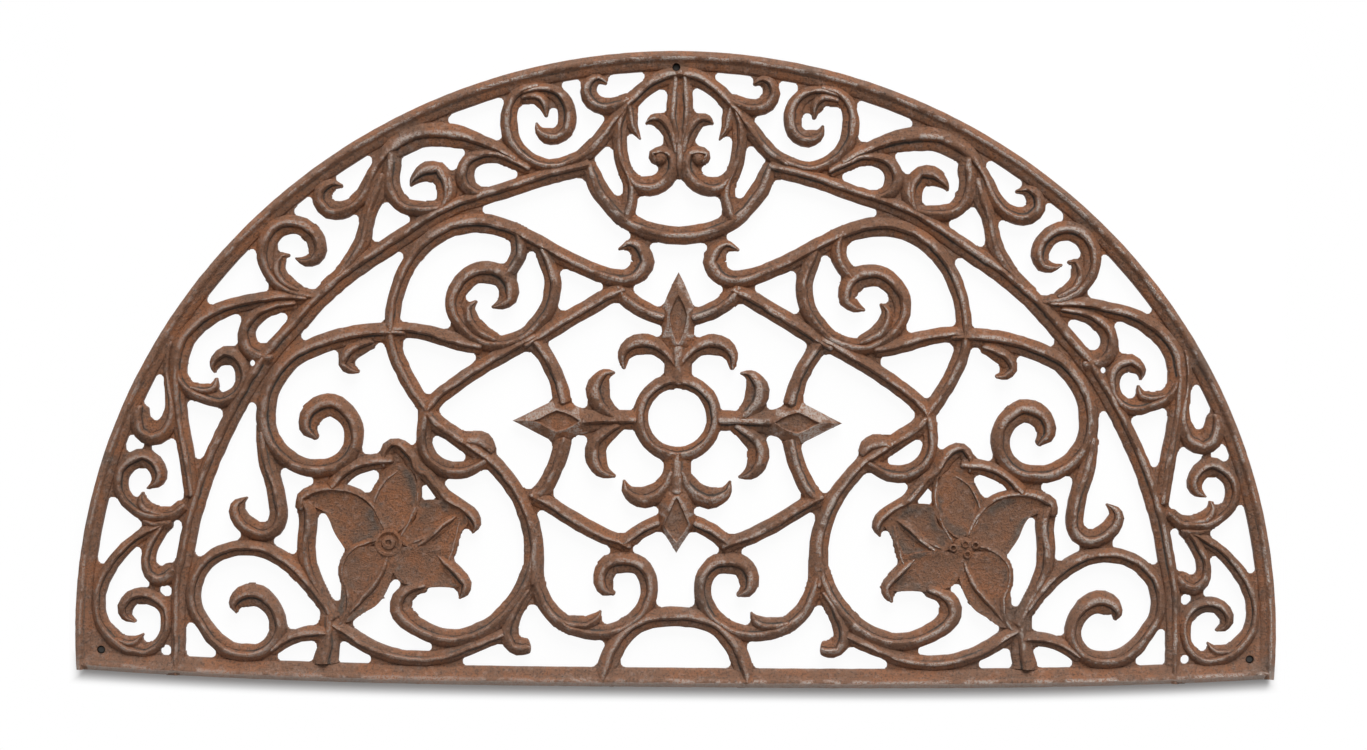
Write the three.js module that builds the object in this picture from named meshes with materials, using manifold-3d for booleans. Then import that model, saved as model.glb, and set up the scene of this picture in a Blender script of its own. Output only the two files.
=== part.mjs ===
import * as THREE from 'three';
import Module from 'manifold-3d';
import { mergeVertices } from 'three/addons/utils/BufferGeometryUtils.js';

// A half-round door mat of cast iron: an open lattice of scrolls in an arched rim, on three rubber feet.
// Sizes are in millimetres and +Z is up. X runs along the straight edge and +Y points to the top of the
// arch. The origin lies on the floor under the middle of the mat's box.
// The real casting is one piece of iron. Here each bar or scroll is a body of its own, with a narrow
// seam to its neighbours.

const wasm = await Module();
wasm.setup();

// Size of the mat
const matWidth = 751.5;
const matDepth = 399;
const archSpring = 35.5; // height of the widest line of the arch above the straight edge
const rimWidthSide = 10.5;
const rimWidthTop = 13;
const rimCrestShare = 0.38; // where the crest lies across the rim, from its outer edge
const sillWidth = 12.4;
const sillBow = 8.5; // how much higher the sill's ends lie than its middle
const sillBowPower = 3;
const sillCrestShare = 0.3; // where the crest lies across the sill, from its outer edge

// Height of the casting's sections: upright walls, then two slopes that meet in a crest
const wallHeight = 4.5;
const crestRise = 4.5;
const crestSlope = 0.45; // rise of a narrow bar's crest, for each millimetre of its width
const seam = 0.3; // gap between neighbouring bodies of the casting

// Rubber feet, pushed into round holes of the iron
const footHeight = 3;
const footRadius = 8;
const footStemRadius = 2.3;
const footHoleRadius = 2.6;
const footStemTop = 3.6; // height of the stem's end above the iron's underside
const cornerFoot = [359, 21];
const topFoot = [-2.5, 388];

// Small round holes in the slope under the rim
const drainHole = [266, 201];
const drainHoleRadius = 2;

// Rosette ring in the middle of the field
const rosetteCentre = [0, 169];
const rosetteInner = 18.2;
const rosetteOuter = 28;

// Flower: petals are plates, the knob sits where they meet
const petalHeight = 5.6;
const knobCentre = [179.7, 89.5];
const knobRadius = 6.8;
const knobRise = 1.2; // height of the knob above the petals
const knobGroove = 1.2; // width and depth of the groove around the knob
const knobDimpleRadius = 1.3;

// Fineness of the solids
const flatness = 0.7; // how far an edge may leave its true curve
const closeness = 0.02; // corners that lie closer than this count as one
const samplesPerPoint = 10;
const bendShare = 0.8; // how much of its bend's radius a bar may fill on its inner side
const rimSteps = 40;
const sillSteps = 16;
const roundSides = 16;

// How far the drawn centrelines keep from the opening's edges, or reach past them into the iron
const sideClearance = 4.25; // from the outermost point to the rim
const sillOverlap = 7.9; // from the sill's upper edge down to the lowest point
const rimOverlap = 2.5; // from the rim's inner edge up to the highest point

// The centrelines are drawn as [x, y, width of the bar]. They show the right-hand half, or a piece in the
// middle up to x = 0, and the other half is their mirror image.

// The inner band: up from the sill inside the rim, then over in a slope to the medallion.
const archBand = {
  band: [
    [311, 5.5, 8.5], [311, 23.5, 8.7], [311, 43.5, 9], [310.5, 61.5, 9.5], [307, 81.5, 10.3],
    [303, 102.5, 10], [298.5, 118.5, 10.3], [294.5, 131.5, 10.5], [288.5, 146.5, 10.5],
    [281.5, 161.5, 10.3], [276.5, 171.5, 10.5], [271, 181.5, 10.5], [259.5, 200.5, 11],
    [252, 210.5, 11.5], [241, 223, 11.7], [230.5, 235, 11.7], [220.5, 245.5, 11.6],
    [200.5, 262, 11.6], [185.5, 272, 11.6], [172, 281, 11.5], [160, 289, 11], [150, 295, 10.5],
    [140, 300, 10.5], [130, 303.5, 10.2], [120, 307, 10.2], [110, 310, 10.2], [100, 313.5, 10.2],
    [90, 317, 10.2], [80, 320, 10.2], [70, 322.5, 10.2], [57, 325.5, 10],
  ],
};

// The scroll in the bottom corner between rim and band, with the leaf on its foot and the hook to the band.
const borderScrollA = {
  scroll: [
    [318.5, 100.5, 8], [329.5, 95.5, 8], [341.5, 87.5, 7.6], [351, 77, 8.5], [357.5, 66.5, 8.3],
    [361, 55.5, 8], [361, 46.5, 8], [359, 38, 8.5], [353.5, 30.5, 9.5], [346.5, 24.5, 9.5],
    [338.5, 21.5, 8.8], [331, 20.5, 8], [324.5, 24, 7], [320, 30.5, 6.5], [318.5, 38.5, 7],
    [319.5, 46.5, 8.5], [325, 52.5, 9.5], [332.5, 55, 9.8], [340, 53.5, 9.8], [344.5, 47.5, 9.5],
    [343.5, 42, 6.5], [338.5, 39, 1.6],
  ],
  leaf: [
    [354.5, 29.5, 5], [345.5, 26.5, 7], [338.5, 26, 7], [333.5, 30.5, 1.6],
  ],
  hook: [
    [320, 100, 8], [325, 91, 9], [328, 83, 10], [328, 76, 10.8], [324.5, 70.5, 12.5],
    [319.5, 69, 14.5], [313.5, 69, 15.5],
  ],
};

// The small scroll above it.
const borderScrollB = {
  scroll: [
    [309, 111.5, 8], [315, 106.5, 9.5], [323, 105.5, 10.5], [331, 106, 9.8], [339, 110, 9],
    [345.5, 116.5, 8.8], [348, 124.5, 9], [346.5, 132.5, 9.5], [341, 138.5, 10.5],
    [334, 140.5, 11.3], [327.5, 138, 10.8], [324, 131.5, 10], [325, 126.5, 8],
    [330.5, 122.5, 1.6],
  ],
  leaf: [
    [323, 106.5, 8], [331, 109, 9], [334.5, 113.5, 7], [334, 119, 1.6],
  ],
  tie: [
    [339, 103.5, 6], [327, 100, 9], [317, 101.5, 9],
  ],
};

// The tall border scroll, with the hook that touches the rim.
const borderScrollC = {
  scroll: [
    [303.5, 119, 9], [306.5, 141, 9.5], [310, 159, 9.5], [312.5, 181, 9.5], [312.5, 201, 11.5],
    [309.5, 213, 12], [302.5, 222.5, 11.5], [290.5, 231.5, 11], [280.5, 236, 10.3],
    [270.5, 238.5, 10], [257.5, 241, 10], [245.5, 242.5, 10], [233.5, 242, 9],
  ],
  hook: [
    [334, 170, 7.5], [335.5, 162.5, 10], [332, 157, 10.8], [326.5, 155.5, 11], [320.5, 159, 9.8],
    [318, 166.5, 8], [318, 180.5, 6], [319, 198.5, 6], [317, 212.5, 6],
  ],
};

// The curl inside the tall scroll.
const borderCurlC = {
  curl: [
    [312.5, 197, 8], [309, 188, 9], [302.5, 182.5, 9.5], [294.5, 179.5, 9.5],
    [286.5, 177.5, 9.5], [279.5, 179.5, 9], [274, 185, 8.5], [272, 192, 9], [273, 199, 10],
    [277, 204, 11], [283, 205.5, 12], [288.5, 202, 8.5], [290, 198.5, 5], [289.5, 195.5, 1.6],
  ],
  leaf: [
    [303.5, 185.5, 6], [296.5, 184, 7.5], [290.5, 185.5, 7], [288.5, 191, 1.6],
  ],
  loop: [
    [240.5, 238.5, 8], [250.5, 236.5, 8.5], [259.5, 233, 9], [267, 227, 10.5], [270, 219, 11],
    [268, 211, 12], [262.5, 207, 13], [254.5, 205.5, 12],
  ],
};

// The round scroll on the band.
const borderScrollD = {
  scroll: [
    [227.5, 243, 8], [238.5, 245, 9], [248.5, 250, 9.5], [255.5, 258, 9.5], [258.5, 267, 10.8],
    [257.5, 276.5, 12], [252.5, 284.5, 12.3], [244.5, 288, 12.4], [235.5, 286.5, 12],
    [228.5, 280.5, 11.6], [226, 272.5, 11.4], [228.5, 266.5, 9.5], [233.5, 265, 6.5],
    [239, 266.5, 1.8],
  ],
  leaf: [
    [238.5, 247.5, 7], [247, 253, 9], [250.5, 260.5, 8.5], [247.5, 268, 5], [244.5, 268.5, 2.5],
  ],
};

// The border scroll with its stem up from the band.
const borderScrollE = {
  stem: [
    [221, 249.5, 7], [211, 257.5, 9], [203, 268.5, 10], [198, 277.5, 10], [196, 286.5, 9.2],
    [193.5, 296.5, 9], [189.5, 307.5, 12], [186.5, 318.5, 10],
  ],
  scroll: [
    [212, 312.5, 3], [217.5, 313, 7.5], [222.5, 309, 11], [223, 302.5, 12.5], [218.5, 297.5, 12.3],
    [211.5, 297, 11.3], [204, 300.5, 9.8], [197.5, 307.5, 9.2], [192.5, 317.5, 9],
    [186.5, 327.5, 8.5], [181, 334.5, 9.5], [173.5, 340, 12], [164, 343.5, 14], [152, 344.5, 15],
    [140, 344, 14.5], [130, 341.5, 12.5], [120, 338, 10.5], [111, 334, 10], [103, 329.5, 9],
  ],
};

// The curl under that scroll.
const borderCurlE = {
  neck: [
    [181, 333.5, 9], [182, 322.5, 9.5], [181, 312.5, 10], [177.5, 304, 11], [171.5, 299.5, 11],
    [163, 298.5, 10], [154, 298.5, 9], [148, 300, 8],
  ],
  curl: [
    [151, 296.5, 8], [149, 305.5, 8.5], [149.5, 313.5, 9.3], [152.5, 319.5, 10.5],
    [158, 321, 12.5], [163.5, 318, 8], [165, 314.5, 5], [164.5, 312, 2],
  ],
  web: [
    [146.5, 301.5, 8], [144, 309.5, 11], [144, 316.5, 8],
  ],
};

// The loop beside it, between the band and the border scroll.
const borderLoopE = {
  loop: [
    [124, 308, 8], [131.5, 312, 10.5], [134.5, 319.5, 11.8], [131.5, 327.5, 11],
    [124, 331.5, 9.5], [114, 332, 9], [104.5, 328.5, 9], [95, 324, 8],
  ],
};

// The spiral beside the medallion, hung from the rim.
const borderScrollF = {
  scroll: [
    [89.5, 375, 7], [97.5, 372.5, 9], [103.5, 367.5, 9.5], [106.5, 360, 9.8], [107, 351.5, 11],
    [105, 342.5, 10.3], [100, 335, 9.3], [91.5, 329, 8.5], [81.5, 326, 8], [71.5, 328, 8],
    [63.5, 331, 8],
  ],
  spiral: [
    [97.5, 371.5, 8], [87.5, 373.5, 8], [78.5, 371.5, 9.5], [72.5, 365.5, 11],
    [70.5, 356.5, 11.5], [72, 349, 11], [77.5, 344.5, 10.8], [83.5, 345, 10], [88, 348, 6],
    [89.5, 352, 1.8],
  ],
  leaf: [
    [97.5, 368, 7], [90.5, 369, 8.5], [85.5, 365, 8.5], [84, 358, 3],
  ],
};

// The bar, leaf and volute inside the medallion.
const medallionSide = {
  bar: [
    [33.5, 363, 9], [37, 353, 9.5], [37.5, 342, 9.3], [36.5, 332, 9.2], [34, 323.5, 9.2],
    [31, 316, 9.2], [30.5, 308, 9.5], [32, 299.5, 10], [34.5, 292.5, 10],
  ],
  leaf: [
    [33, 367.5, 7], [30.5, 359.5, 8], [29.5, 351.5, 7], [25, 343.5, 1.5],
  ],
  volute: [
    [32, 320.5, 8], [26.5, 315, 11], [19, 313.5, 12.5], [12, 316, 13], [8, 322, 12],
    [8, 329, 12], [9, 335, 9],
  ],
  eye: [
    [7.5, 334, 5], [10.5, 334, 11], [14.5, 334, 13], [18.5, 334, 11], [21, 334, 4],
  ],
};

// The large scroll that stands on the sill.
const fieldScrollA = {
  scroll: [
    [220, 51.5, 10], [225, 58, 10], [232.5, 66.5, 10], [239, 73, 10.3], [246.5, 78.5, 10.3],
    [256, 83.5, 10], [267, 85.5, 9.8], [278, 84.5, 9.7], [288, 80.5, 9.7], [296, 73.5, 9.3],
    [300.5, 64.5, 9], [302, 54.5, 9], [300, 45.5, 9], [294.5, 36.5, 9.3], [287.5, 27.5, 10],
    [279, 21.5, 10.5], [269, 19.5, 11.2], [259.5, 21, 10], [252, 27, 10], [248.5, 35.5, 10.3],
    [250.5, 44.5, 10.5], [256, 52, 12], [264, 56, 14.5], [271, 54.5, 14], [275.5, 49.5, 8.5],
    [275, 45.5, 2],
  ],
  tie: [
    [252, 22, 8], [243.5, 27.5, 8.5], [235, 31, 9], [226, 32.5, 9.5], [217, 32, 10],
  ],
};

// The stem that rises from the sill to the flower, with its low branch.
const fieldStem = {
  post: [
    [220.5, 9, 13], [219, 21, 13.2], [217, 32, 13.5], [216, 43, 13],
  ],
  stem: [
    [215, 42, 12], [220.5, 54, 9.2], [226.5, 66, 9.8], [230.5, 77, 10.8], [231.5, 89, 11.2],
    [230.5, 100, 11.2], [231, 109, 12], [233.5, 114, 10],
  ],
  branch: [
    [214, 37.5, 9], [205, 32.5, 9.8], [195, 26, 9.6], [185, 21.5, 9], [172, 18, 9], [160, 17, 9],
    [148, 18, 9], [138, 20.5, 9.3], [127, 25, 9], [117, 29, 9], [108, 32.5, 8],
  ],
};

// The hooked scroll between the flower and the band.
const fieldScrollB = {
  scroll: [
    [259.5, 157.5, 8], [258, 147.5, 9.5], [256, 137.5, 10.5], [252.5, 127.5, 10.5],
    [250, 115.5, 11], [249, 105.5, 11], [252, 98, 11.5], [258.5, 95, 11], [265.5, 97.5, 11.5],
    [272, 102.5, 11.5], [275, 109, 10], [273.5, 113.5, 6.5], [269.5, 116.5, 1.8],
  ],
};

// The large scroll under the slope of the band.
const fieldScrollC = {
  scroll: [
    [172, 220.5, 9.5], [182, 221, 11.5], [196, 220, 12.3], [211, 217, 12.3], [226, 212, 12],
    [239.5, 205, 11.5], [249, 195, 11.5], [255.5, 182.5, 11.5], [257.5, 169, 12],
    [256, 157.5, 11.5], [250.5, 148, 11.2], [243, 141, 11.2], [234, 136.5, 11.2],
    [224, 135.5, 11.3], [214, 137.5, 11.5], [206.5, 143, 11.5], [202.5, 152, 11.8],
    [203, 162, 12.2], [208, 170, 13], [216, 175, 14.8], [224, 173.5, 15], [230, 167.5, 13],
    [230.5, 161, 12], [226.5, 155.5, 5],
  ],
  hook: [
    [192, 214.5, 8], [200, 211, 10], [206, 206.5, 10.5], [207.5, 201, 9.5], [204.5, 197.5, 6.5],
    [200.5, 196.5, 3],
  ],
};

// The long scroll that runs up beside the rosette and under the medallion.
const lyreScroll = {
  scroll: [
    [156, 172.5, 10], [162.5, 181, 9.8], [169, 191.5, 9.8], [174.5, 202.5, 9.8], [178, 213, 10],
    [179, 225, 9.8], [178, 238, 9.3], [174.5, 251, 9.5], [169.5, 262.5, 9.8],
    [162.5, 272.5, 10.3], [153, 281, 11], [142, 287, 11.5], [130, 289.5, 12], [118, 289, 12],
    [106, 285.5, 11.8], [95, 280.5, 11.5], [85, 275.5, 11.3], [72, 268.5, 10.8], [60, 263, 10.8],
    [50, 259, 10.8], [41, 256.5, 11.2], [33, 256, 11.3], [26, 259.5, 13], [22.5, 266.5, 15],
    [24.5, 273, 12.5], [30, 277, 7], [37, 274.5, 2],
  ],
  spur: [
    [102.5, 285.5, 9], [100, 276.5, 10.3], [100.5, 269.5, 10.3], [104, 263, 9.5],
    [108.5, 257.5, 9],
  ],
  tie: [
    [178, 222.5, 9], [168, 222.5, 9.8], [156, 220.5, 10], [145, 217.5, 10.8], [134, 214.5, 11],
    [124, 212.5, 10],
  ],
};

// The curl hung under it.
const lyreCurl = {
  curl: [
    [85.5, 273, 9], [82, 264.5, 10.3], [79, 255.5, 10.6], [79, 246.5, 10.6], [81.5, 237, 10.3],
    [87.5, 228, 10.2], [95.5, 220, 10], [105.5, 215.5, 10], [116.5, 214.5, 10.5],
    [127, 218.5, 11], [135.5, 226.5, 10.5], [140, 235.5, 10.5], [139.5, 244.5, 11.8],
    [135, 252, 12.3], [128, 258, 13], [119.5, 259, 14], [111, 256.5, 14], [106.5, 250, 13],
    [106.5, 243, 11], [111.5, 239, 7], [115.5, 237.5, 2.5],
  ],
  leaf: [
    [115, 217.5, 8], [124.5, 222.5, 10.5], [129.5, 229.5, 9.5], [130.5, 236.5, 7],
    [127, 240.5, 2.5],
  ],
};

// The strap to the rosette frame and the loop round the small oblong gap.
const leafLoop = {
  tie: [
    [156, 172.5, 10], [150.5, 179.5, 10], [140, 188, 10], [130, 195, 10], [120, 201.5, 10],
    [110, 207.5, 10.3], [100, 213.5, 10.8], [90, 218.5, 10],
  ],
  loop: [
    [156, 173.5, 11], [157.5, 164.5, 10], [158.5, 154.5, 9.3], [156, 145.5, 9.5],
    [150, 138.5, 10], [141.5, 135, 11], [132.5, 135.5, 11], [124.5, 139, 9.5], [117.5, 143, 8],
  ],
};

// The trunk from the foot scroll up to the lyre, with its bud.
const trunk = {
  stem: [
    [156, 170.5, 10], [149.5, 163.5, 11], [142, 158.5, 11], [134, 153, 11], [125.5, 147.5, 11],
    [117, 141.5, 10.5], [109, 133, 10.3], [102, 124, 10.5], [95.5, 112.5, 11],
    [91.5, 101.5, 11.7], [89.5, 91.5, 12], [89, 79.5, 12.3], [89, 65.5, 12.5],
  ],
  bud: [
    [133, 151.5, 10], [127.5, 152.5, 15], [121.5, 151, 15], [117, 147, 9],
  ],
};

// The scroll under the flower.
const flowerScroll = {
  scroll: [
    [158, 62, 8], [165.5, 59.5, 9.5], [171, 54.5, 13], [172, 47.5, 14], [167.5, 41, 12.5],
    [160, 36, 11.3], [150, 31.5, 11], [138, 30, 10.8], [125.5, 33, 11], [115, 38.5, 11],
    [106.5, 46.5, 11], [98.5, 56.5, 11.2], [93, 67.5, 11], [90, 78.5, 9],
  ],
  hook: [
    [93, 59.5, 9], [99, 49, 9.5], [103, 39, 9.5], [104, 31.5, 11], [100.5, 26, 11.5],
    [95, 25, 9.5], [91.5, 25.5, 5], [90, 26, 2],
  ],
};

// The scroll at the foot of the middle.
const footScroll = {
  scroll: [
    [88, 69.5, 10], [85, 59, 10], [79.5, 49, 10.5], [71.5, 41, 10.5], [61.5, 36.5, 10.5],
    [50, 34.5, 10], [39.5, 35.5, 9.5], [29.5, 40, 9.8], [21.5, 47.5, 10.3], [17, 57.5, 10.8],
    [17.5, 68, 11.3], [23, 76, 12], [32, 78.5, 13.5], [41, 76.5, 13.5], [45.5, 69.5, 13.3],
    [44.5, 62.5, 11], [39.5, 59, 3.5],
  ],
  leaf: [
    [73, 41.5, 7], [64, 40, 9], [55.5, 40, 9], [50, 43, 7], [47.5, 47, 1.8],
  ],
};

// The straps round the rosette, with the side spike and its crescents.
const rosetteFrame = {
  strapFoot: [
    [30, 88.5, 10], [36, 91.5, 9.5], [45, 94.5, 9.8], [57, 100.5, 10], [70, 108, 10],
    [80, 114.5, 10], [90, 119.5, 10],
  ],
  strapLow: [
    [88, 118.5, 10], [82.5, 125, 11], [78, 133.5, 10.6], [74, 143.5, 10.8], [71, 153.5, 11],
    [70, 163.5, 11],
  ],
  strapHigh: [
    [70, 167.5, 11], [72.5, 181.5, 11.3], [76, 193.5, 10.2], [81.5, 204.5, 10.3],
    [88.5, 215, 11],
  ],
  strapArm: [
    [95, 213.5, 10], [80, 223, 10.8], [68, 230.5, 10.8], [56, 237.5, 10.8], [45, 244, 10.8],
    [35, 248.5, 10.5],
  ],
  strapTop: [
    [37, 250, 9], [33.5, 245, 11.3], [27.5, 240, 11.3], [20, 235.5, 11], [11, 232, 10.3],
    [3, 231, 9],
  ],
  diamond: [
    [103, 166, 2], [90, 166, 14], [78, 166.5, 25], [70, 166.5, 25], [59, 166.5, 16],
    [46, 167, 12.5], [36, 167.5, 12.5], [27, 167.5, 13],
  ],
  crescentUp: [
    [39, 169, 8], [44, 173.5, 11.5], [48.5, 179.5, 14], [50, 186.5, 15.3], [48, 192, 12.5],
    [44.5, 196, 7], [40.5, 197, 2.5],
  ],
  crescentDown: [
    [37, 163.5, 8], [44, 158.5, 11], [50, 152, 13], [51, 145, 13.5], [48.5, 138, 11.5],
    [44.5, 134, 7.5], [39.5, 132.5, 2.5],
  ],
};

// The small arch on the sill.
const bottomArch = {
  arch: [
    [45, 4.5, 11], [42.5, 13.5, 12.5], [38.5, 23.5, 12.5], [32.5, 32.5, 12], [24, 39.5, 11.3],
    [13, 43.5, 12], [0, 44.5, 12.3],
  ],
};

// The pointed arch of the medallion under the rim, with its hooks.
const medallionArch = {
  arch: [
    [67.5, 328.5, 8], [59.5, 333, 9.5], [52.5, 339.5, 10], [46, 347.5, 10], [40, 355, 10],
    [34, 362.5, 10], [27.5, 369.5, 10], [19.5, 376.5, 10], [10.5, 381.5, 11], [-0.5, 383.5, 12],
  ],
  hook: [
    [32, 367.5, 9], [40, 364.5, 10], [48, 363.5, 10.5], [54.5, 366.5, 11], [57.5, 372.5, 10.5],
    [55.5, 378.5, 8.5], [51, 380.5, 6.5], [47, 378.5, 3],
  ],
};

// The lower half of the medallion.
const medallionRing = {
  ring: [
    [56.5, 327, 8], [54, 320, 11], [50.5, 312, 12], [45, 304.5, 11.5], [38.5, 297, 11],
    [31.5, 291.5, 11], [22, 287, 11.2], [11, 284, 11.4], [0, 283, 11.5],
  ],
};

// The spike above the rosette and its crescents.
const topDiamond = {
  blade: [
    [0, 260, 1.5], [0, 253.5, 7], [0, 245.5, 14], [0, 237.5, 20], [0, 227.5, 21], [0, 218.5, 20],
    [0, 209.5, 17], [0, 197.5, 17], [0, 191.5, 17],
  ],
  crescent: [
    [2, 201.5, 8], [8, 209, 9.5], [14.5, 213.5, 11.5], [22, 215, 13.5], [29, 213, 12.5],
    [33.5, 208, 9], [34, 200.5, 3],
  ],
};

// The spike below the rosette, its crescents and the straps to the foot.
const bottomDiamond = {
  blade: [
    [0, 145.5, 17], [0, 138.5, 16.5], [0, 129.5, 20], [0, 119.5, 22], [0, 109.5, 21.5],
    [0, 98.5, 21], [0, 91.5, 11], [0, 84.5, 1.5],
  ],
  crescent: [
    [4, 134.5, 8], [7.5, 127.5, 10.5], [13, 122, 12.8], [20, 119, 13.8], [27, 120.5, 11.3],
    [31.5, 124.5, 6.5], [33, 129, 2],
  ],
  strap: [
    [32, 90, 10], [25, 96, 9.8], [17, 100.5, 9.8], [8, 104.5, 9.5],
  ],
};

// The leaf that hangs in the medallion.
const fleur = {
  blade: [
    [0, 388.5, 10], [0, 381.5, 13], [0, 373.5, 15], [0, 365.5, 15.8], [0, 359.5, 19],
    [0, 351.5, 19], [0, 343.5, 18], [0, 335.5, 14], [0, 327.5, 12], [0, 319.5, 3],
  ],
  leaf: [
    [4, 352.5, 12], [9, 355.5, 9.8], [14.5, 356, 7.5], [18.5, 355, 4.5], [21, 354, 1.5],
  ],
};

// The flower: the stalk from the stem, the raised edges of the petals and the petals themselves.
const flowerRibs = {
  stalk: [
    [214.5, 124, 11], [207, 132.5, 10], [197.5, 137.5, 10], [188, 140, 10], [179, 140.5, 9],
  ],
  edgeOne: [
    [233.5, 111, 10], [232.5, 116.5, 11], [224.5, 121, 9.5], [213.5, 122, 8.5],
    [203, 120.5, 7.5], [193.5, 115, 6.5], [187, 106.5, 5.5], [182.5, 97, 4.5],
  ],
  edgeTwo: [
    [205, 83.5, 4], [194, 84.5, 4.5], [184.5, 87, 4.5],
  ],
  edgeTwoLeft: [
    [178.5, 84, 3], [179, 75, 4.5], [181.5, 66, 5.5], [185, 58.5, 6], [190.5, 52, 5.5], [198, 46, 5],
    [204, 42, 4],
  ],
  edgeTwoRight: [
    [204, 82, 4], [207, 73, 5], [207, 63, 5], [206.5, 54, 5], [208.5, 45, 5.5], [212, 39, 6],
  ],
  hook: [
    [182.5, 138.5, 6], [182, 145.5, 8], [178, 150, 9.5], [172.5, 149, 9.5], [167, 143, 9.5],
    [162.5, 136, 9.5], [156, 132.5, 9],
  ],
  edgeThree: [
    [166.5, 142, 6], [163, 131.5, 5], [162, 120.5, 5], [165, 107, 5], [172, 94, 4],
  ],
  edgeThreeRight: [
    [175, 133.5, 3], [182, 128.5, 4], [187, 120, 4.5], [189, 112, 4.5], [187, 104.5, 4], [183, 98, 3],
  ],
  edgeFour: [
    [156.5, 132.5, 9], [150, 124.5, 9], [144, 117.5, 9.5], [135.5, 112, 9.5], [128.5, 106, 10.5],
    [126, 100.5, 7.5], [127, 96.5, 2],
  ],
  spineFour: [
    [171, 91, 3], [159.5, 95.5, 5], [149, 100.5, 5], [139, 103, 4], [131, 103.5, 3],
  ],
  edgeFive: [
    [171.5, 88, 3.5], [161, 85.5, 4.5], [152, 84, 5], [145.5, 78, 8], [138, 70, 10],
    [132.5, 63.5, 9], [133.5, 58.5, 7], [135, 55.5, 2],
  ],
};
// Each petal is an outline with the slope of its upper face, as rise per millimetre along x and y.
const petals = {
  one: {
    slope: [-0.01, 0.03],
    outline: [
      [183, 94.5], [190, 89.5], [205, 84], [209.5, 89], [214, 96], [217.5, 104.5],
      [221.5, 109.5], [231, 113.5], [226, 120.5], [214, 123], [202, 119.5], [192, 112.5],
      [184, 101.5],
    ],
  },
  two: {
    slope: [0.01, 0.02],
    outline: [
      [203, 40], [195, 45.5], [188, 49.5], [183, 55.5], [180, 61.5], [178, 66.5], [176, 76.5],
      [178, 84.5], [190, 87], [205, 84], [208, 71.5], [209, 61.5], [210, 51.5], [212, 45.5],
      [208, 40],
    ],
  },
  three: {
    slope: [-0.03, 0],
    outline: [
      [184, 99.5], [191, 110.5], [191.5, 119], [186.5, 129], [182, 136], [175, 139.5],
      [168, 136.5], [163, 128.5], [161, 117.5], [162, 109.5], [168, 101.5], [176, 95.5],
    ],
  },
  four: {
    slope: [0, 0.02],
    outline: [
      [171, 95.5], [163, 104.5], [160.5, 115], [152, 116.5], [143, 115.5], [134, 109.5],
      [130, 102.5], [134, 97.5], [136, 91.5], [139, 85.5], [148, 83.5], [160, 85.5],
      [172, 89.5],
    ],
  },
  five: {
    slope: [0, 0.03],
    outline: [
      [174, 85.5], [160, 87.5], [148, 85.5], [140, 82], [138.5, 77.5], [133, 70.5], [130, 64.5],
      [136.5, 62], [148, 62], [158, 61.5], [166, 63], [173, 65.5], [177, 71.5], [179, 79.5],
    ],
  },
};

// Flat webs of the casting: each fills the space up to the bars around it.
const cornerWeb = [[368, 52], [368, 14], [338, 13], [338, 21], [352, 26], [362, 46]];

// The opening inside rim and sill, and the box of all drawn points that is fitted into it
const opening = {
  halfWidth: matWidth / 2 - rimWidthSide,
  bottom: sillWidth,
  top: matDepth - rimWidthTop,
};
const drawings = [
  archBand, borderScrollA, borderScrollB, borderScrollC, borderCurlC, borderScrollD, borderScrollE,
  borderCurlE, borderLoopE, borderScrollF, medallionSide, fieldScrollA, fieldStem, fieldScrollB,
  fieldScrollC, lyreScroll, lyreCurl, leafLoop, trunk, flowerScroll, footScroll, rosetteFrame,
  bottomArch, medallionArch, medallionRing, topDiamond, bottomDiamond, fleur, flowerRibs,
];
const drawnPoints = drawings.flatMap((drawing) => Object.values(drawing).flat());
const drawn = new THREE.Box2().setFromPoints(drawnPoints.map(([x, y]) => new THREE.Vector2(x, y)));
const lowest = opening.bottom - sillOverlap;
const highest = opening.top + rimOverlap;
const acrossScale = (opening.halfWidth - sideClearance) / drawn.max.x;
const upScale = (highest - lowest) / (drawn.max.y - drawn.min.y);
const boreDepth = footHeight + 3 * (wallHeight + crestRise);

// A drawn point in the mat's own frame; side is 1 for the right half and -1 for the left.
function place([x, y], side = 1) {
  return new THREE.Vector2(side * x * acrossScale, lowest + (y - drawn.min.y) * upScale);
}

// A geometry as a solid that can be joined and cut.
function solidOf(geometry) {
  geometry.deleteAttribute('normal');
  geometry.deleteAttribute('uv');
  const merged = mergeVertices(geometry, 1e-4);
  return new wasm.Manifold(new wasm.Mesh({
    numProp: 3,
    vertProperties: new Float32Array(merged.attributes.position.array),
    triVerts: new Uint32Array(merged.index.array),
    tolerance: closeness,
  }));
}

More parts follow.
